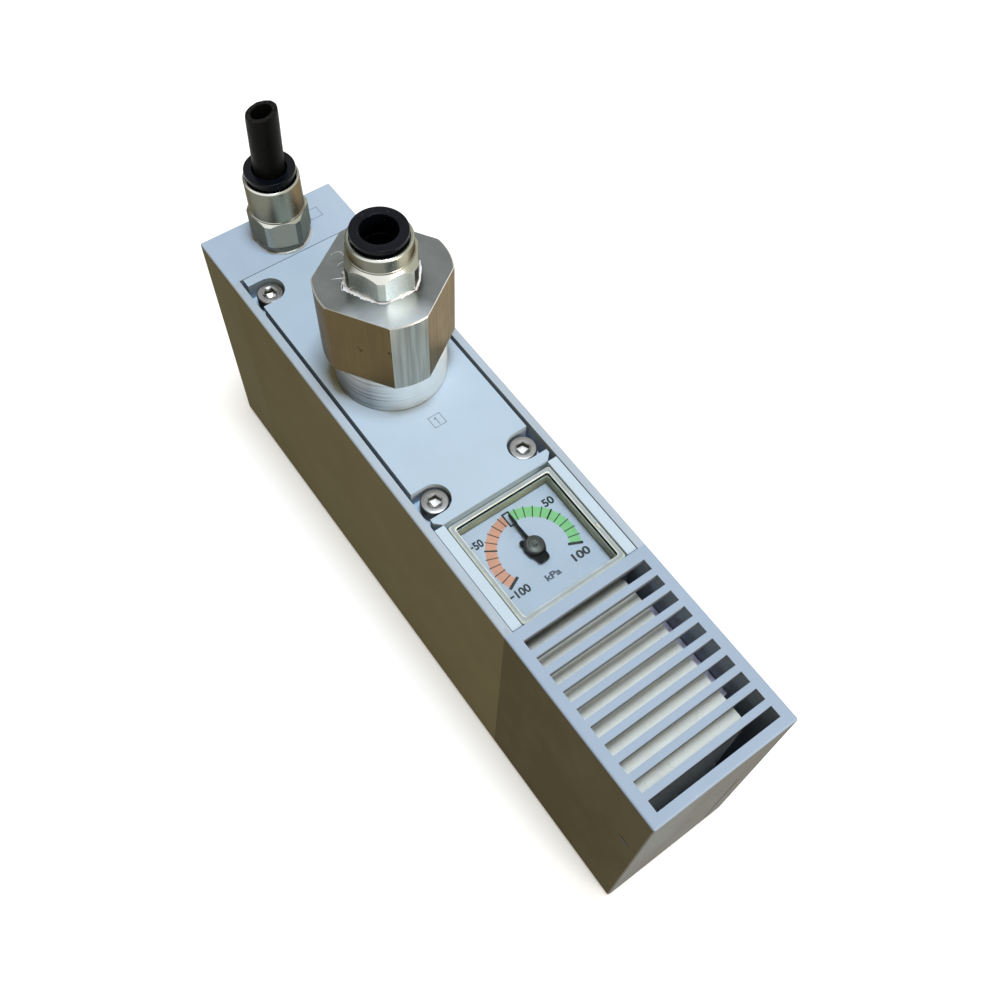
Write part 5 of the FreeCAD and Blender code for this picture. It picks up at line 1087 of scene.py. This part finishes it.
class EJECTOR_OT_sealing(bpy.types.Operator):
    """Lay the shreds of white tape at the vacuum fitting and the sealant under the supply fitting"""

    bl_idname = "ejector.sealing"
    bl_label = "Tape and sealant"

    # The collar's cross-section: share of its width and share of its rise.
    section = ((-0.1, 1.0), (0.12, 1.0), (0.2, 0.6), (0.55, 0.3), (1.0, 0.12), (1.0, 0.01), (-0.1, 0.01))
    # Loose strands: direction in degrees, reach and rise.
    strands = (
        (217, 4.2, 1.4), (228, 2.4, 0.5), (248, 3.6, 0.9), (271, 2.0, 0.5), (283, 1.6, 0.7), (301, 1.3, 0.3),
    )

    def execute(self, context):
        """The tape at the vacuum fitting and the sealant at the supply fitting."""
        random = np.random.default_rng(7)
        tape = material(
            "sealing_tape", tint(250, 250, 252), tint(232, 234, 238), (0.4, 0.55), specular=0.4,
            grain=(1500.0, 0.6, 0.00006), specks=(1500.0, 0.2, 0.2, tint(190, 190, 186)),
        )
        self.tape_collar(context, random, tape)
        self.sealant(random)
        return {"FINISHED"}

    def tape_collar(self, context, random, tape):
        """A torn collar that follows the hexagon's foot: its width is a few humps round the foot
        times a sum of waves. Loose strands stand out of it, and one thicker roll lies beside it."""
        centre = middle("vacuum_fitting_body")[:2]
        floor = corners("port_adapter")[1][2]
        width = context.scene.ejector_sizes.tape_width
        degrees = np.linspace(196, 392, 420)
        angles = np.radians(degrees)
        foot = self.foot_radius(angles)
        ragged = self.waves(random, 3 * angles, (1, 2, 3, 5, 8, 13))
        humps = (
            0.06 + 0.55 * np.exp(-((degrees - 236) / 34) ** 4) + 0.28 * np.exp(-((degrees - 268) / 9) ** 2)
            + 0.26 * np.exp(-((degrees - 296) / 24) ** 4) + 0.36 * np.exp(-((degrees - 355) / 18) ** 2)
        )
        torn = self.waves(random, 3 * angles, (8, 13, 21, 34)) * 4
        spread = np.clip(width * humps * (0.9 + 0.5 * ragged + 0.5 * torn), 0.04, None)
        rise = 0.3 + 1.9 * np.exp(-((degrees - 228) / 26) ** 4) * (1 + 0.5 * ragged + 0.5 * torn)
        rows = []
        for share, lift in self.section:
            wave = 0.08 * np.sin(17 * angles + 6 * share) * (lift > 0.05)
            radius = foot + 0.02 + spread * share
            rows.append(ring(centre, radius, angles, floor + 0.004 + rise * (lift + wave)))
        shape = Shape()
        shape.grid(np.array(rows), along=True)
        for angle, reach, rise in self.strands:
            start = np.radians(np.full(14, float(angle)))
            share = np.linspace(0, 1, 14)
            bend = start + 0.22 * np.sin(share * 3.0) * random.uniform(-1, 1)
            path = ring(
                centre, self.foot_radius(start) - 0.3 + reach * share, bend,
                floor + 0.15 + rise * np.sin(share * math.pi * 0.8),
            )
            shape.grid(cord_grid(path, np.linspace(0.14, 0.04, 14)), around=True, capped=True)
        share = np.linspace(0, 1, 30)
        side = np.radians(20 + 56 * share)
        radius = self.foot_radius(side) + 0.25 + 0.12 * np.sin(9 * side)
        rise = 2.2 * np.sin(share * math.pi) + 0.12 * np.sin(30 * side)
        shape.grid(cord_grid(ring(centre, radius, side, floor + 0.3 + rise), 0.3), around=True, capped=True)
        shape.build("sealing_tape", [tape], "ejector", sharp=60)

    @staticmethod
    def foot_radius(angles):
        """Distance from the vacuum port's axis to the foot of its hexagon, at each angle."""
        size = EJECTOR_OT_fittings.sizes["vacuum"]
        corner = size["flats"] / math.sqrt(3) - EJECTOR_OT_fittings.corner_cut
        return np.minimum(polygon_radius(angles, size["flats"], 6, math.radians(size["corner"] + 30)), corner)

    @staticmethod
    def waves(random, angles, rates):
        """A sum of sine waves, weaker the faster they are."""
        total = 0
        for rate in rates:
            height = random.uniform(0.3, 1.0) / rate
            total = total + height * np.sin(rate * angles + random.uniform(0, TURN))
        return total

    def sealant(self, random):
        """A bead round the supply fitting's washer: a low half round, thick on one side and thin
        on the rest, whose width and height waver."""
        centre = middle("supply_fitting_body")[:2]
        floor = corners("end_cap")[1][2]
        angles = even_angles(180)
        waver = self.waves(random, angles, (2, 3, 5, 9, 14))
        side = np.cos((angles - math.radians(12)) / 2) ** 6
        size = (0.14 + 0.5 * side) * (1 + 0.28 * waver)
        across = np.linspace(0, math.pi, 9)[:, None]
        rows = ring(
            centre, 7.42 + size * np.cos(across), angles, floor + 0.005 + size * 0.9 * np.sin(across)
        )
        shape = Shape()
        shape.grid(rows, around=True, along=True)
        clear = material(
            "sealant", tint(206, 210, 204), tint(176, 180, 174), (0.22, 0.38), coat=0.3,
            grain=(900.0, 0.6, 0.00004), specks=(900.0, 0.14, 0.2, tint(150, 150, 144)),
        )
        shape.build("supply_sealant", [clear], "ejector", sharp=60)


# Operators: gauge

class EJECTOR_OT_dial_print(bpy.types.Operator):
    """Print the bands, divisions and figures on the dial"""

    bl_idname = "ejector.dial_print"
    bl_label = "Dial print"

    lift = 0.03
    # The box over zero: its reach along X and along Y from the hub, and its line's width.
    zero = (-11.75, -7.75, -1.05, 1.05, 0.44)
    # Figures: text, middle along X and Y from the hub, and width.
    figures = (
        ("100", 7.12, 8.36, 4.7), ("\u2212100", 6.95, -9.45, 5.9), ("50", -8.35, 10.4, 3.0),
        ("\u221250", -8.5, -10.65, 3.9),
    )

    def execute(self, context):
        """Zero lies towards -X. Every mark is given by its angle from there and its distance from the hub."""
        sizes = context.scene.ejector_sizes
        colours = context.scene.ejector_colours
        self.centre = middle("pointer_arbor")[:2]
        self.face = corners("gauge_dial")[1][2]
        inner, outer = sizes.band_inner, sizes.band_outer
        half_turn, divisions = sizes.scale_half_turn, sizes.divisions
        bands = Shape()
        for sign, finish in ((1, 0), (-1, 1)):
            angle = math.pi + sign * np.linspace(math.radians(4.5), half_turn, 60)
            height = self.face + self.lift * 0.5
            rows = [ring(self.centre, radius, angle, height) for radius in (inner, outer)]
            bands.grid(np.array(rows), finish=finish)
        prints = [
            self.ink_finish("vacuum_band", tuple(colours.vacuum_band)),
            self.ink_finish("pressure_band", tuple(colours.pressure_band)),
        ]
        bands.build("dial_bands", prints, "ejector", closed=False)

        ink = Shape()
        for number in range(1, divisions + 1):
            for sign in (1, -1):
                angle = math.pi + sign * half_turn * number / divisions
                wide = {divisions: 0.74, divisions // 2: 0.42}.get(number, 0.25)
                low = inner - (0.55 if number == divisions else 0.1)
                self.bar(ink, angle, low, outer + (0.35 if number == divisions else 0.25), wide)
        self.zero_box(ink)
        black = self.ink_finish("dial_ink", tuple(colours.ink))
        ink.build("dial_divisions", [black], "ejector", closed=False)
        height = sizes.figure_height
        for number, (text, along, across, wide) in enumerate(self.figures, start=1):
            self.figure(f"dial_figure_{number}", text, along, across, height, wide, black)
        unit = self.ink_finish("dial_unit_ink", tint(60, 68, 84))
        self.figure("dial_unit", "kPa", 7.64, -0.29, 1.75, 4.1, unit)
        return {"FINISHED"}

    def bar(self, shape, angle, low, high, wide):
        """A straight mark along a radius: four corners, half a width to each side."""
        way = np.array([math.cos(angle), math.sin(angle)])
        side = np.array([-way[1], way[0]]) * wide / 2
        self.patch(shape, [way * low - side, way * high - side, way * high + side, way * low + side])

    def zero_box(self, shape):
        """A black outlined box over zero: four bars."""
        for outline in square_bars(*self.zero):
            self.patch(shape, outline)

    def patch(self, shape, outline):
        """A flat patch of ink, its outline given from the hub."""
        shape.polygon([(*(self.centre + spot), self.face + self.lift) for spot in outline])

    def figure(self, name, text, along, across, tall, wide, finish):
        """A text, made a mesh, its width along +Y and its height along -X, fitted to a size."""
        curve = bpy.data.curves.new(name, "FONT")
        curve.body = text
        curve.offset = 0.034
        writer = bpy.data.objects.new(name, curve)
        bpy.context.scene.collection.objects.link(writer)
        bpy.context.view_layer.update()
        mesh = bpy.data.meshes.new_from_object(writer.evaluated_get(bpy.context.evaluated_depsgraph_get()))
        bpy.data.objects.remove(writer)
        spots = np.empty(len(mesh.vertices) * 3)
        mesh.vertices.foreach_get("co", spots)
        spots = spots.reshape(-1, 3)
        low, high = spots.min(0), spots.max(0)
        flat = (spots - (low + high) / 2) / np.maximum(high - low, 1e-6)
        x = self.centre[0] + along - flat[:, 1] * tall
        y = self.centre[1] + across + flat[:, 0] * wide
        placed = np.column_stack([x, y, np.full(len(x), self.face + self.lift)]) * MM
        mesh.vertices.foreach_set("co", placed.ravel())
        mesh.materials.clear()
        mesh.materials.append(finish)
        mesh.update()
        piece = bpy.data.objects.new(name, mesh)
        bpy.context.scene.collection.objects.link(piece)
        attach(piece, "ejector")

    @staticmethod
    def ink_finish(name, colour):
        """A printed colour, a little uneven."""
        shade = darker(colour, 0.9)
        return material(name, colour, shade, (0.42, 0.55), patch=300.0, grain=(3000.0, 0.4, 0.000002))


class EJECTOR_OT_pointer(bpy.types.Operator):
    """Make the pointer: slim blade, broad tail with a lobe, and a turned hub"""

    bl_idname = "ejector.pointer"
    bl_label = "Pointer"

    def execute(self, context):
        """A flat outline raised with a small chamfer, and a hub spun round the arbor."""
        centre = middle("pointer_arbor")[:2]
        face = corners("gauge_dial")[1][2]
        outline = softened(self.outline(), 0.35, 4)
        shape = Shape()
        inner = outline * 0.99
        loops = [raised(inner, 1.0), raised(outline, 1.1), raised(outline, 1.38), raised(inner, 1.5)]
        shape.grid(np.array(loops) + np.array([*centre, face]), around=True, capped=True)
        hub = softened([
            (0.01, 0.4), (1.2, 0.4), (1.2, 0.95), (2.45, 0.95), (2.45, 2.5), (2.3, 2.75),
            (2.0, 2.95), (1.5, 2.95), (1.35, 3.05), (0.62, 3.06), (0.5, 2.9), (0.01, 2.9),
        ], 0.12, 3) + np.array([0.0, face])
        angles = even_angles(96)
        finish = np.where(hub[:, 1] > face + 2.4, 1, 0)
        shape.grid(turned_grid(hub, centre, angles), around=True, along=True, finish=finish)
        colours = context.scene.ejector_colours
        black = material(
            "pointer_paint", tint(8, 9, 12), tint(14, 16, 20), (0.28, 0.42), specular=0.12,
            grain=(2600.0, 0.4, 0.000006), specks=(1500.0, 0.12, 0.12, tint(84, 90, 98)),
        )
        steel = tuple(colours.steel)
        hub_metal = material(
            "hub_metal", darker(steel, 0.30), darker(steel, 0.20), (0.28, 0.4), metallic=1.0, patch=500.0,
            grain=(2600.0, 0.4, 0.000004), lines=(centre, 0.16, 0.5, 0.000012),
        )
        shape.build("pointer_blade", [black, hub_metal], "pointer_assembly", ["pointer"])
        return {"FINISHED"}

    @staticmethod
    def outline():
        """Corners of the blade and tail about the hub: the blade points along -X."""
        return np.array([
            (-10.3, -0.10), (-8.0, -0.30), (-2.6, -0.52), (-2.5, -1.0), (-3.1, -1.5), (-2.9, -2.3),
            (-2.1, -2.5), (-1.5, -2.1), (-0.4, -2.6), (1.6, -2.3), (2.5, -1.55), (3.6, -1.6), (4.3, -1.25),
            (4.3, 1.25), (3.6, 1.65), (2.5, 1.6), (1.2, 2.5), (-1.4, 2.2), (-2.3, 1.1), (-2.6, 0.52),
            (-8.0, 0.30), (-10.3, 0.10),
        ])


class EJECTOR_OT_lens(bpy.types.Operator):
    """Make the clear lens and the liner under it"""

    bl_idname = "ejector.lens"
    bl_label = "Lens"

    def execute(self, context):
        """Loops round a square with round corners: up the skirt, over the chamfer, down the
        shallow step and across the window, and back up inside the skirt."""
        low, high = corners("gauge_lens")
        centre = np.array([*middle("gauge_lens")[:2], 0.0])
        sizes = context.scene.ejector_sizes
        chamfer, step = sizes.lens_chamfer, sizes.lens_step
        half, corner, top, floor = (high[0] - low[0]) / 2, 0.7, high[2], low[2]
        inside, under = half - 1.2, top - 1.4
        stations = [
            (inside - 0.3, 0.5, under, 2), (inside, 0.5, under - 0.3, 2), (inside, 0.5, floor, 0),
            (half, corner, floor, 0), (half, corner, top - chamfer, 1), (half - chamfer, corner, top, 2),
            (half - 1.05, corner, top, 1), (half - 1.3, corner, top - step, 0),
        ]
        loops = [raised(rounded_square(reach, size), height) for reach, size, height, _ in stations]
        shape = Shape()
        finish = [kind for *_, kind in stations[:-1]]
        shape.grid(np.array(loops) + centre, around=True, capped=True, finish=finish)
        band = material(
            "lens_band", tint(168, 180, 188), tint(156, 168, 174), (0.2, 0.3), patch=300.0,
            grain=(1500.0, 0.4, 0.000004), specks=(900.0, 0.1, 0.1, tint(220, 222, 200)),
        )
        # The chamfer and the step round the window take an opaque painted highlight.
        plastics = [clear_plastic(), painted_bevel_highlight(), band]
        shape.build("gauge_window", plastics, "ejector", ["gauge_lens"], sharp=20)

        liner = Shape()
        dial_top = corners("gauge_dial")[1][2]
        reach = inside - 0.02
        walls = [
            (reach, dial_top - 0.6), (reach, under - 0.34), (reach - 0.3, under - 0.04),
            (reach - 0.42, under - 0.05), (reach - 0.1, under - 0.4), (reach - 0.1, dial_top - 0.6),
        ]
        loops = [raised(rounded_square(size, 0.5), height) for size, height in walls]
        liner.grid(np.array(loops) + centre, around=True, along=True)
        olive = material(
            "liner_shade", tint(156, 156, 126), tint(136, 136, 112), (0.3, 0.45), patch=120.0,
            grain=(1600.0, 0.5, 0.00001), specks=(900.0, 0.12, 0.1, tint(150, 146, 110)),
        )
        liner.build("gauge_liner", [olive], "ejector", sharp=30)
        self.catch(centre, half, top)
        return {"FINISHED"}

    @staticmethod
    def catch(centre, half, top):
        """Small moulded catch on the lens's +Y edge: a low rounded bar along the edge."""
        across = np.linspace(0, math.pi, 9)[:, None]
        along = np.linspace(-0.6, 0.6, 5)[None, :]
        x = centre[0] + 5.0 + along + 0 * across
        y = half - 0.45 + 0.28 * np.cos(across) + 0 * along
        z = top - 0.02 + 0.22 * np.sin(across) + 0 * along
        shape = Shape()
        shape.grid(np.stack([x, y, z], axis=-1).transpose(1, 0, 2), around=True, capped=True)
        # The catch takes the same opaque painted highlight.
        shape.build("lens_catch", [painted_bevel_highlight()], "ejector", sharp=40)


def clear_plastic():
    """Clear lens plastic, faintly green; it lets shadow rays through."""
    made = material(
        "clear_lens", tint(244, 249, 246), tint(240, 246, 242), (0.03, 0.06), transmission=1.0, ior=1.12,
        grain=(700.0, 0.3, 0.0000004), patch=40.0,
    )
    tree = Tree(made.node_tree)
    out = made.node_tree.nodes["Material Output"]
    shader = made.node_tree.nodes["Principled BSDF"]
    shadow = tree.add("LightPath").outputs["Is Shadow Ray"]
    clear = tree.add("BsdfTransparent", {"Color": tint(240, 244, 242)})
    both = tree.add("MixShader", {0: shadow, 1: shader.outputs[0], 2: clear.outputs[0]})
    tree.feed(out.inputs["Surface"], both.outputs[0])
    return made


def painted_bevel_highlight():
    """Painted highlight on the lens's bevels, an opaque bright finish, made once."""
    known = bpy.data.materials.get("lens_edge")
    return known or material(
        "lens_edge", tint(240, 244, 236), tint(216, 220, 200), (0.2, 0.35), patch=300.0, coat=0.5,
        grain=(1500.0, 0.4, 0.000004),
    )


# Operators: silencer and marks

class EJECTOR_OT_felt(bpy.types.Operator):
    """Finish the felt and lay loose fibres on it"""

    bl_idname = "ejector.felt"
    bl_label = "Felt"

    fibres = 420

    def execute(self, context):
        """Each fibre is a short strand that bends as a sine along its length and lies on the felt."""
        colour = tuple(context.scene.ejector_colours.felt)
        felt = material(
            "felt", colour, darker(colour, 0.9), (0.82, 0.95), sheen=0.15, specular=0.2, patch=160.0,
            spread=0.2, grain=(1300.0, 0.7, 0.00014), specks=(900.0, 0.13, 0.07, tint(150, 148, 130)),
            scratches=(420.0, (1.0, 0.3, 1.0), 0.03, 0.5, tint(246, 248, 244)),
        )
        dress("sound_absorber", felt)
        dress("absorber_side_strip", material(
            "side_strip", tint(226, 222, 244), tint(206, 202, 228), (0.3, 0.45), patch=160.0,
            grain=(1300.0, 0.7, 0.00008), specks=(900.0, 0.13, 0.07, tint(170, 166, 180)),
        ))
        low, high = corners("sound_absorber")
        self.lip(felt, low, high, corners("housing")[1][0])
        random = np.random.default_rng(11)
        shape = Shape()
        share = np.linspace(0, 1, 6)
        for _ in range(self.fibres):
            start = random.uniform(low[:2] + 1.2, high[:2] - 1.2)
            way = random.uniform(0, TURN)
            reach, bend = random.uniform(0.5, 1.6), random.uniform(-0.4, 0.4)
            ahead, aside = (np.array([math.cos(turn), math.sin(turn)]) for turn in (way, way + math.pi / 2))
            flat = start + np.outer(share * reach, ahead) + np.outer(np.sin(share * math.pi) * bend, aside)
            flat = np.clip(flat, low[:2] + 0.1, high[:2] - 0.1)
            rise = high[2] + 0.02 + random.uniform(0.02, 0.14) * np.sin(share * math.pi)
            shape.grid(cord_grid(np.column_stack([flat, rise]), 0.022, 4), around=True, capped=True)
        shape.build("felt_fibres", [felt], "ejector", sharp=80)
        return {"FINISHED"}

    @staticmethod
    def lip(felt, low, high, wall):
        """The felt's frayed edge, bulged out to the housing: a half round along Y, whose reach wavers."""
        along = np.linspace(low[1] + 0.4, high[1] - 0.4, 60)
        across = np.linspace(math.pi * 0.5, math.pi * 1.5, 9)[:, None]
        gap = (low[0] - wall) * (0.86 + 0.1 * np.sin(along * 1.7) * np.sin(along * 0.6))
        x = low[0] + 0.3 + (gap + 0.3) * np.cos(across)
        z = high[2] - 1.6 + 1.58 * np.sin(across)
        rows = np.stack([x, np.broadcast_to(along, x.shape), np.broadcast_to(z, x.shape)], axis=-1)
        shape = Shape()
        shape.grid(rows.transpose(1, 0, 2), around=True, capped=True)
        shape.build("felt_edge", [felt], "ejector", sharp=60)


class EJECTOR_OT_port_marks(bpy.types.Operator):
    """Draw the small square port marks, and a plain figure one in the one on the port plate"""

    bl_idname = "ejector.port_marks"
    bl_label = "Port marks"

    wide, lift = 0.16, 0.015
    plate_mark, cap_mark = (-11.45, 0.0), (-86.4, 10.6)

    def execute(self, context):
        """Four thin bars round a square, just over the face."""
        groove = material(
            "mark_shade", tint(120, 134, 150), tint(104, 116, 132), (0.5, 0.6), patch=300.0,
            grain=(2600.0, 0.4, 0.000006),
        )
        face = corners("port_plate")[1][2]
        shape = Shape()
        marks = ((self.plate_mark, 3.4, face), (self.cap_mark, 3.6, corners("end_cap")[1][2]))
        for (x, y), size, height in marks:
            for outline in square_bars(-size / 2, size / 2, -size / 2, size / 2, self.wide):
                shape.polygon([(x + a, y + b, height + self.lift) for a, b in outline])
        self.stroke(shape, self.plate_mark, face)
        shape.build("port_marks", [groove], "ejector", closed=False)
        return {"FINISHED"}

    def stroke(self, shape, centre, face):
        """A plain figure one, in two strokes, inside the square on the plate."""
        for outline in (
            [(-1.1, -0.1), (1.1, -0.1), (1.1, 0.1), (-1.1, 0.1)],
            [(-1.1, 0.1), (-0.5, -0.65), (-0.35, -0.5), (-0.85, 0.1)],
        ):
            shape.polygon([(centre[0] + x, centre[1] + y, face + self.lift) for x, y in outline])


# Stage

class EJECTOR_OT_stage(bpy.types.Operator):
    """Set up the floor, the white surroundings, the lights and the camera"""

    bl_idname = "ejector.stage"
    bl_label = "Stage"

    # Places and sizes in metres, the camera's turn in degrees.
    camera_place = (0.10856, -0.07743, 0.29221)
    camera_turn = (29.3825, -1.9297, 53.9501)
    camera_lens = 38.026
    lamps = {
        "key": ((0.10, 0.05, 1.5), 0.36, (0.79, 0.89, 1.0)),
        "side": ((1.2, 0.27, 0.42), 0.5, (1.0, 0.90, 0.78)),
    }
    floor_reach = 4.0

    def execute(self, context):
        """Camera, lamps, world and floor."""
        self.camera(context)
        for name in self.lamps:
            self.lamp(context, name)
        self.world(context)
        self.floor(context)
        context.scene.view_settings.view_transform = "Standard"
        return {"FINISHED"}

    def camera(self, context):
        """Camera at the photograph's angle."""
        lens = bpy.data.cameras.new("camera")
        lens.lens = self.camera_lens
        lens.sensor_width = 36.0
        lens.clip_start = 0.01
        holder = bpy.data.objects.new("camera", lens)
        holder.location = self.camera_place
        holder.rotation_euler = [math.radians(angle) for angle in self.camera_turn]
        context.scene.collection.objects.link(holder)
        context.scene.camera = holder

    def lamp(self, context, name):
        """A soft square light, turned to the object."""
        place, size, colour = self.lamps[name]
        light = bpy.data.lights.new(name, "AREA")
        light.energy = getattr(context.scene.ejector_lights, name)
        light.shape = "SQUARE"
        light.size = size
        light.color = colour
        holder = bpy.data.objects.new(name, light)
        holder.location = place
        holder.visible_transmission = False
        aim = np.array([0.0, 0.0, 0.07]) - np.array(place)
        holder.rotation_euler = (
            math.atan2(math.hypot(aim[0], aim[1]), -aim[2]), 0.0, math.atan2(aim[1], aim[0]) - math.pi / 2,
        )
        context.scene.collection.objects.link(holder)

    def world(self, context):
        """White to camera, mirror and clear rays; a warm dim bounce to the rest."""
        world = bpy.data.worlds.new("surroundings")
        context.scene.world = world
        world.use_nodes = True
        tree = Tree(world.node_tree)
        lights = context.scene.ejector_lights
        back = world.node_tree.nodes["Background"]
        out = world.node_tree.nodes["World Output"]
        tree.feed(back.inputs["Color"], tuple(lights.warmth))
        tree.feed(back.inputs["Strength"], lights.bounce)
        white = tree.add("Background", {"Color": (1.0, 1.0, 1.0), "Strength": 1.0})
        both = tree.add("MixShader", {0: seen_directly(tree), 1: back.outputs[0], 2: white.outputs[0]})
        tree.feed(out.inputs["Surface"], both.outputs[0])

    def floor(self, context):
        """Pale floor: white where it is looked at, with the object's shadow, and warm and dim as a bounce."""
        reach = self.floor_reach
        mesh = bpy.data.meshes.new("floor")
        spots = [(-reach, -reach, 0), (reach, -reach, 0), (reach, reach, 0), (-reach, reach, 0)]
        mesh.from_pydata(spots, [], [(0, 1, 2, 3)])
        holder = bpy.data.objects.new("floor", mesh)
        context.scene.collection.objects.link(holder)
        made = bpy.data.materials.new("floor")
        made.use_nodes = True
        mesh.materials.append(made)
        tree = Tree(made.node_tree)
        shader = made.node_tree.nodes["Principled BSDF"]
        out = made.node_tree.nodes["Material Output"]
        tree.feed(shader.inputs["Roughness"], 0.9)
        tree.feed(shader.inputs["Base Color"], tint(240, 240, 238))
        glow = tree.add("Emission", {"Color": (1.0, 1.0, 1.0), "Strength": 0.42})
        pale = tree.add("AddShader", {0: shader.outputs[0], 1: glow.outputs[0]})
        bounce = tree.add("BsdfDiffuse", {"Color": tint(137, 117, 77)})
        both = tree.add("MixShader", {0: seen_directly(tree), 1: bounce.outputs[0], 2: pale.outputs[0]})
        tree.feed(out.inputs["Surface"], both.outputs[0])


def seen_directly(tree):
    """One for camera, glossy and transmission rays, and zero once the light was scattered."""
    path = tree.add("LightPath").outputs
    mirrored = tree.maths("MAXIMUM", path["Is Glossy Ray"], path["Is Transmission Ray"])
    unscattered = tree.maths("LESS_THAN", path["Diffuse Depth"], 0.5)
    return tree.times(tree.maths("MAXIMUM", path["Is Camera Ray"], mirrored), unscattered)


STEPS = (
    EJECTOR_OT_stage,
    EJECTOR_OT_painted_shell,
    EJECTOR_OT_inner_pieces,
    EJECTOR_OT_port_adapter,
    EJECTOR_OT_fittings,
    EJECTOR_OT_push_rings,
    EJECTOR_OT_supply_tube,
    EJECTOR_OT_plate_screws,
    EJECTOR_OT_sealing,
    EJECTOR_OT_dial_print,
    EJECTOR_OT_pointer,
    EJECTOR_OT_lens,
    EJECTOR_OT_felt,
    EJECTOR_OT_port_marks,
)


class EJECTOR_PT_sidebar(bpy.types.Panel):
    """The ejector's steps and values"""

    bl_idname = "EJECTOR_PT_sidebar"
    bl_label = "Vacuum ejector"
    bl_space_type = "VIEW_3D"
    bl_region_type = "UI"
    bl_category = "Ejector"

    def draw(self, context):
        """A button for each step, then every value."""
        for step in STEPS:
            self.layout.operator(step.bl_idname)
        for group in GROUPS:
            values = getattr(context.scene, group)
            for key in values.__annotations__:
                self.layout.prop(values, key)


GROUPS = {
    "ejector_colours": EjectorColours,
    "ejector_sizes": EjectorSizes,
    "ejector_lights": EjectorLights,
}
CLASSES = (*GROUPS.values(), *STEPS, EJECTOR_PT_sidebar)


def register():
    """Register every class and hang the values on the scene."""
    for entry in CLASSES:
        bpy.utils.register_class(entry)
    for key, group in GROUPS.items():
        setattr(bpy.types.Scene, key, PointerProperty(type=group))


def unregister():
    """Take the values and classes away again."""
    for key in GROUPS:
        delattr(bpy.types.Scene, key)
    for entry in reversed(CLASSES):
        bpy.utils.unregister_class(entry)


def main():
    """Run every step."""
    register()
    make_effects()
    for step in STEPS:
        area, action = step.bl_idname.split(".")
        getattr(getattr(bpy.ops, area), action)()
    bpy.context.view_layer.update()


if __name__ == "__main__":
    main()
